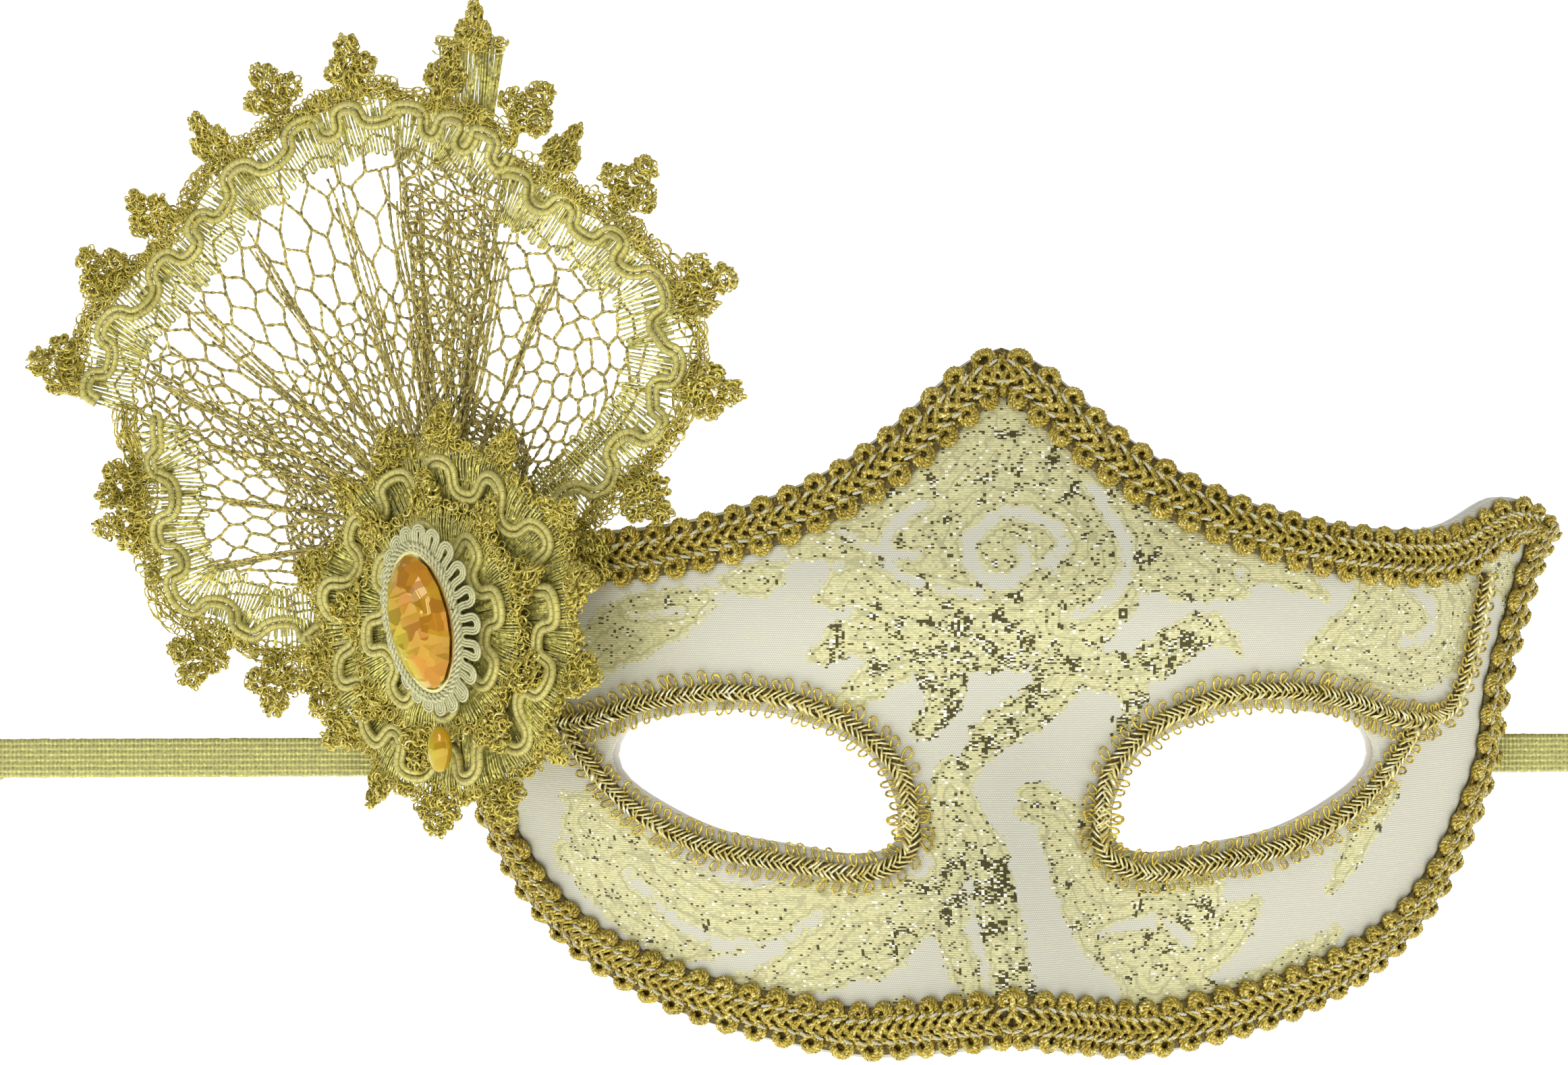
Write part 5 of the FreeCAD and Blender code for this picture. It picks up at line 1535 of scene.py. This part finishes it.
def set_camera():
    """Camera in front of the mask, a little to its left and above it."""
    look = Vector((math.sin(VIEW_TURN) * math.cos(VIEW_DROP), math.cos(VIEW_TURN) * math.cos(VIEW_DROP),
                   -math.sin(VIEW_DROP)))
    lens = bpy.data.cameras.new("camera")
    lens.sensor_width = SENSOR
    lens.lens = SENSOR * VIEW_DISTANCE / VIEW_WIDTH
    camera = add_object("camera", lens)
    camera.location = Vector(VIEW_AIM) - look * VIEW_DISTANCE
    camera.rotation_euler = look.to_track_quat("-Z", "Y").to_euler()
    lens.clip_start, lens.clip_end = 0.05, 50.0
    bpy.context.scene.camera = camera


def area_light(name, place, aim, width, height, power):
    """Soft rectangular light."""
    data = bpy.data.lights.new(name, "AREA")
    data.shape = "RECTANGLE"
    data.size, data.size_y, data.energy = width, height, power
    light = add_object(name, data)
    light.location = place
    light.rotation_euler = (Vector(aim) - Vector(place)).to_track_quat("-Z", "Y").to_euler()


def plane(name, size, place, tip, shade):
    """Square of the stage, tipped up about X by some degrees."""
    bpy.ops.object.select_all(action="DESELECT")
    bpy.ops.mesh.primitive_plane_add(size=size, location=place, rotation=(math.radians(tip), 0, 0))
    made = bpy.context.active_object
    made.name = name
    bpy.ops.object.transform_apply(location=True, rotation=True, scale=True)
    made.data.materials.append(shade.material)
    return made


def set_stage():
    """Pale floor, a bright backdrop behind it, and soft lights."""
    pale = Shade("pale_floor", Roughness=0.85, Specular_IOR_Level=0.2, Emission_Color=(1, 1, 1, 1),
                 Emission_Strength=1.0)
    pale.feed(Base_Color=pale.mix(pale.noise(40.0), (0.93, 0.93, 0.93), (0.96, 0.96, 0.96)))
    glow = Shade("bright_backdrop", Roughness=0.9, Emission_Strength=1.0)
    glow.feed(Emission_Color=glow.mix(glow.noise(400.0, 1.0), (1.0, 1.0, 1.0), (0.98, 0.98, 0.98)))
    floor = plane("floor", 6.0, (0, 0, FLOOR_HEIGHT), 0, pale)
    wall = plane("backdrop", 9.0, (0, WALL_DEPTH, 0), 90, glow)
    world = bpy.context.scene.world or bpy.data.worlds.new("world")
    bpy.context.scene.world = world
    world.use_nodes = True
    sky = world.node_tree.nodes["Background"]
    sky.inputs["Color"].default_value = (1.0, 1.0, 1.0, 1.0)
    sky.inputs["Strength"].default_value = WORLD_STRENGTH
    for light in LIGHTS:
        area_light(*light)
    bpy.context.scene.view_settings.view_transform = "Standard"


# ---------------------------------------------------------------- operators and panel
class Step(bpy.types.Operator):
    """A step that makes part of the mask's looks."""

    bl_options = {"REGISTER", "UNDO"}

    def execute(self, context):
        self.make()
        return {"FINISHED"}


class MASK_OT_camera_and_stage(Step):
    """Set the camera, the floor and the lights"""

    bl_idname = "mask.camera_and_stage"
    bl_label = "Camera and stage"

    def make(self):
        set_camera()
        set_stage()


class MASK_OT_finishes(Step):
    """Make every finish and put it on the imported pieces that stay"""

    bl_idname = "mask.finishes"
    bl_label = "Finishes"

    def make(self):
        make_finishes()
        paint_packed()


class MASK_OT_elastic(Step):
    """String both elastics with their knots and glued ends"""

    bl_idname = "mask.elastic"
    bl_label = "Elastic"

    def make(self):
        string_elastic()


class MASK_OT_face(Step):
    """Stretch the brocade over the shell and line it with felt"""

    bl_idname = "mask.face"
    bl_label = "Brocade and lining"

    def make(self):
        dress_face()


class MASK_OT_edges(Step):
    """Sew the edge braid round the mask"""

    bl_idname = "mask.edges"
    bl_label = "Edge braid"

    def make(self):
        dress_edges()


class MASK_OT_eyes(Step):
    """Sew the picot trim round the eyes and up the temples"""

    bl_idname = "mask.eyes"
    bl_label = "Picot trims"

    def make(self):
        dress_eyes()


class MASK_OT_fan(Step):
    """Gather the net fan and edge it with lace"""

    bl_idname = "mask.fan"
    bl_label = "Lace fan"

    def make(self):
        dress_fan()


class MASK_OT_rosette(Step):
    """Build the rosette: two ruffles and the serpentine ring round the stone"""

    bl_idname = "mask.rosette"
    bl_label = "Rosette"

    def make(self):
        dress_ruffle("ruffle_outer", ["rosette_outer_ruffle", "rosette_scroll_cord"], radius=28.0,
                     height=OUTER_HEIGHT, swing=1.6, seed=51)
        dress_ruffle("ruffle_inner", ["rosette_inner_ruffle"], radius=18.5, height=INNER_HEIGHT, swing=1.4,
                     seed=52)
        serpentine_ring()


STEPS = (MASK_OT_camera_and_stage, MASK_OT_finishes, MASK_OT_elastic, MASK_OT_face, MASK_OT_edges,
         MASK_OT_eyes, MASK_OT_fan, MASK_OT_rosette)


class MASK_PT_panel(bpy.types.Panel):
    """Sizes, colours and steps of the mask"""

    bl_idname = "MASK_PT_panel"
    bl_label = "Venetian mask"
    bl_space_type = "VIEW_3D"
    bl_region_type = "UI"
    bl_category = "Mask"

    def draw(self, context):
        for settings in (context.scene.mask_sizes, context.scene.mask_colours):
            box = self.layout.box()
            for name in type(settings).__annotations__:
                box.prop(settings, name)
        for step in STEPS:
            self.layout.operator(step.bl_idname)


CLASSES = (MaskSizes, MaskColours, *STEPS, MASK_PT_panel)


def register():
    """Register the settings, the steps and the panel."""
    for cls in CLASSES:
        bpy.utils.register_class(cls)
    bpy.types.Scene.mask_sizes = PointerProperty(type=MaskSizes)
    bpy.types.Scene.mask_colours = PointerProperty(type=MaskColours)


def unregister():
    """Undo register."""
    del bpy.types.Scene.mask_colours
    del bpy.types.Scene.mask_sizes
    for cls in reversed(CLASSES):
        bpy.utils.unregister_class(cls)


def main():
    """Run every step."""
    register()
    for step in STEPS:
        getattr(bpy.ops.mask, step.bl_idname.split(".")[1])()


if __name__ == "__main__":
    main()
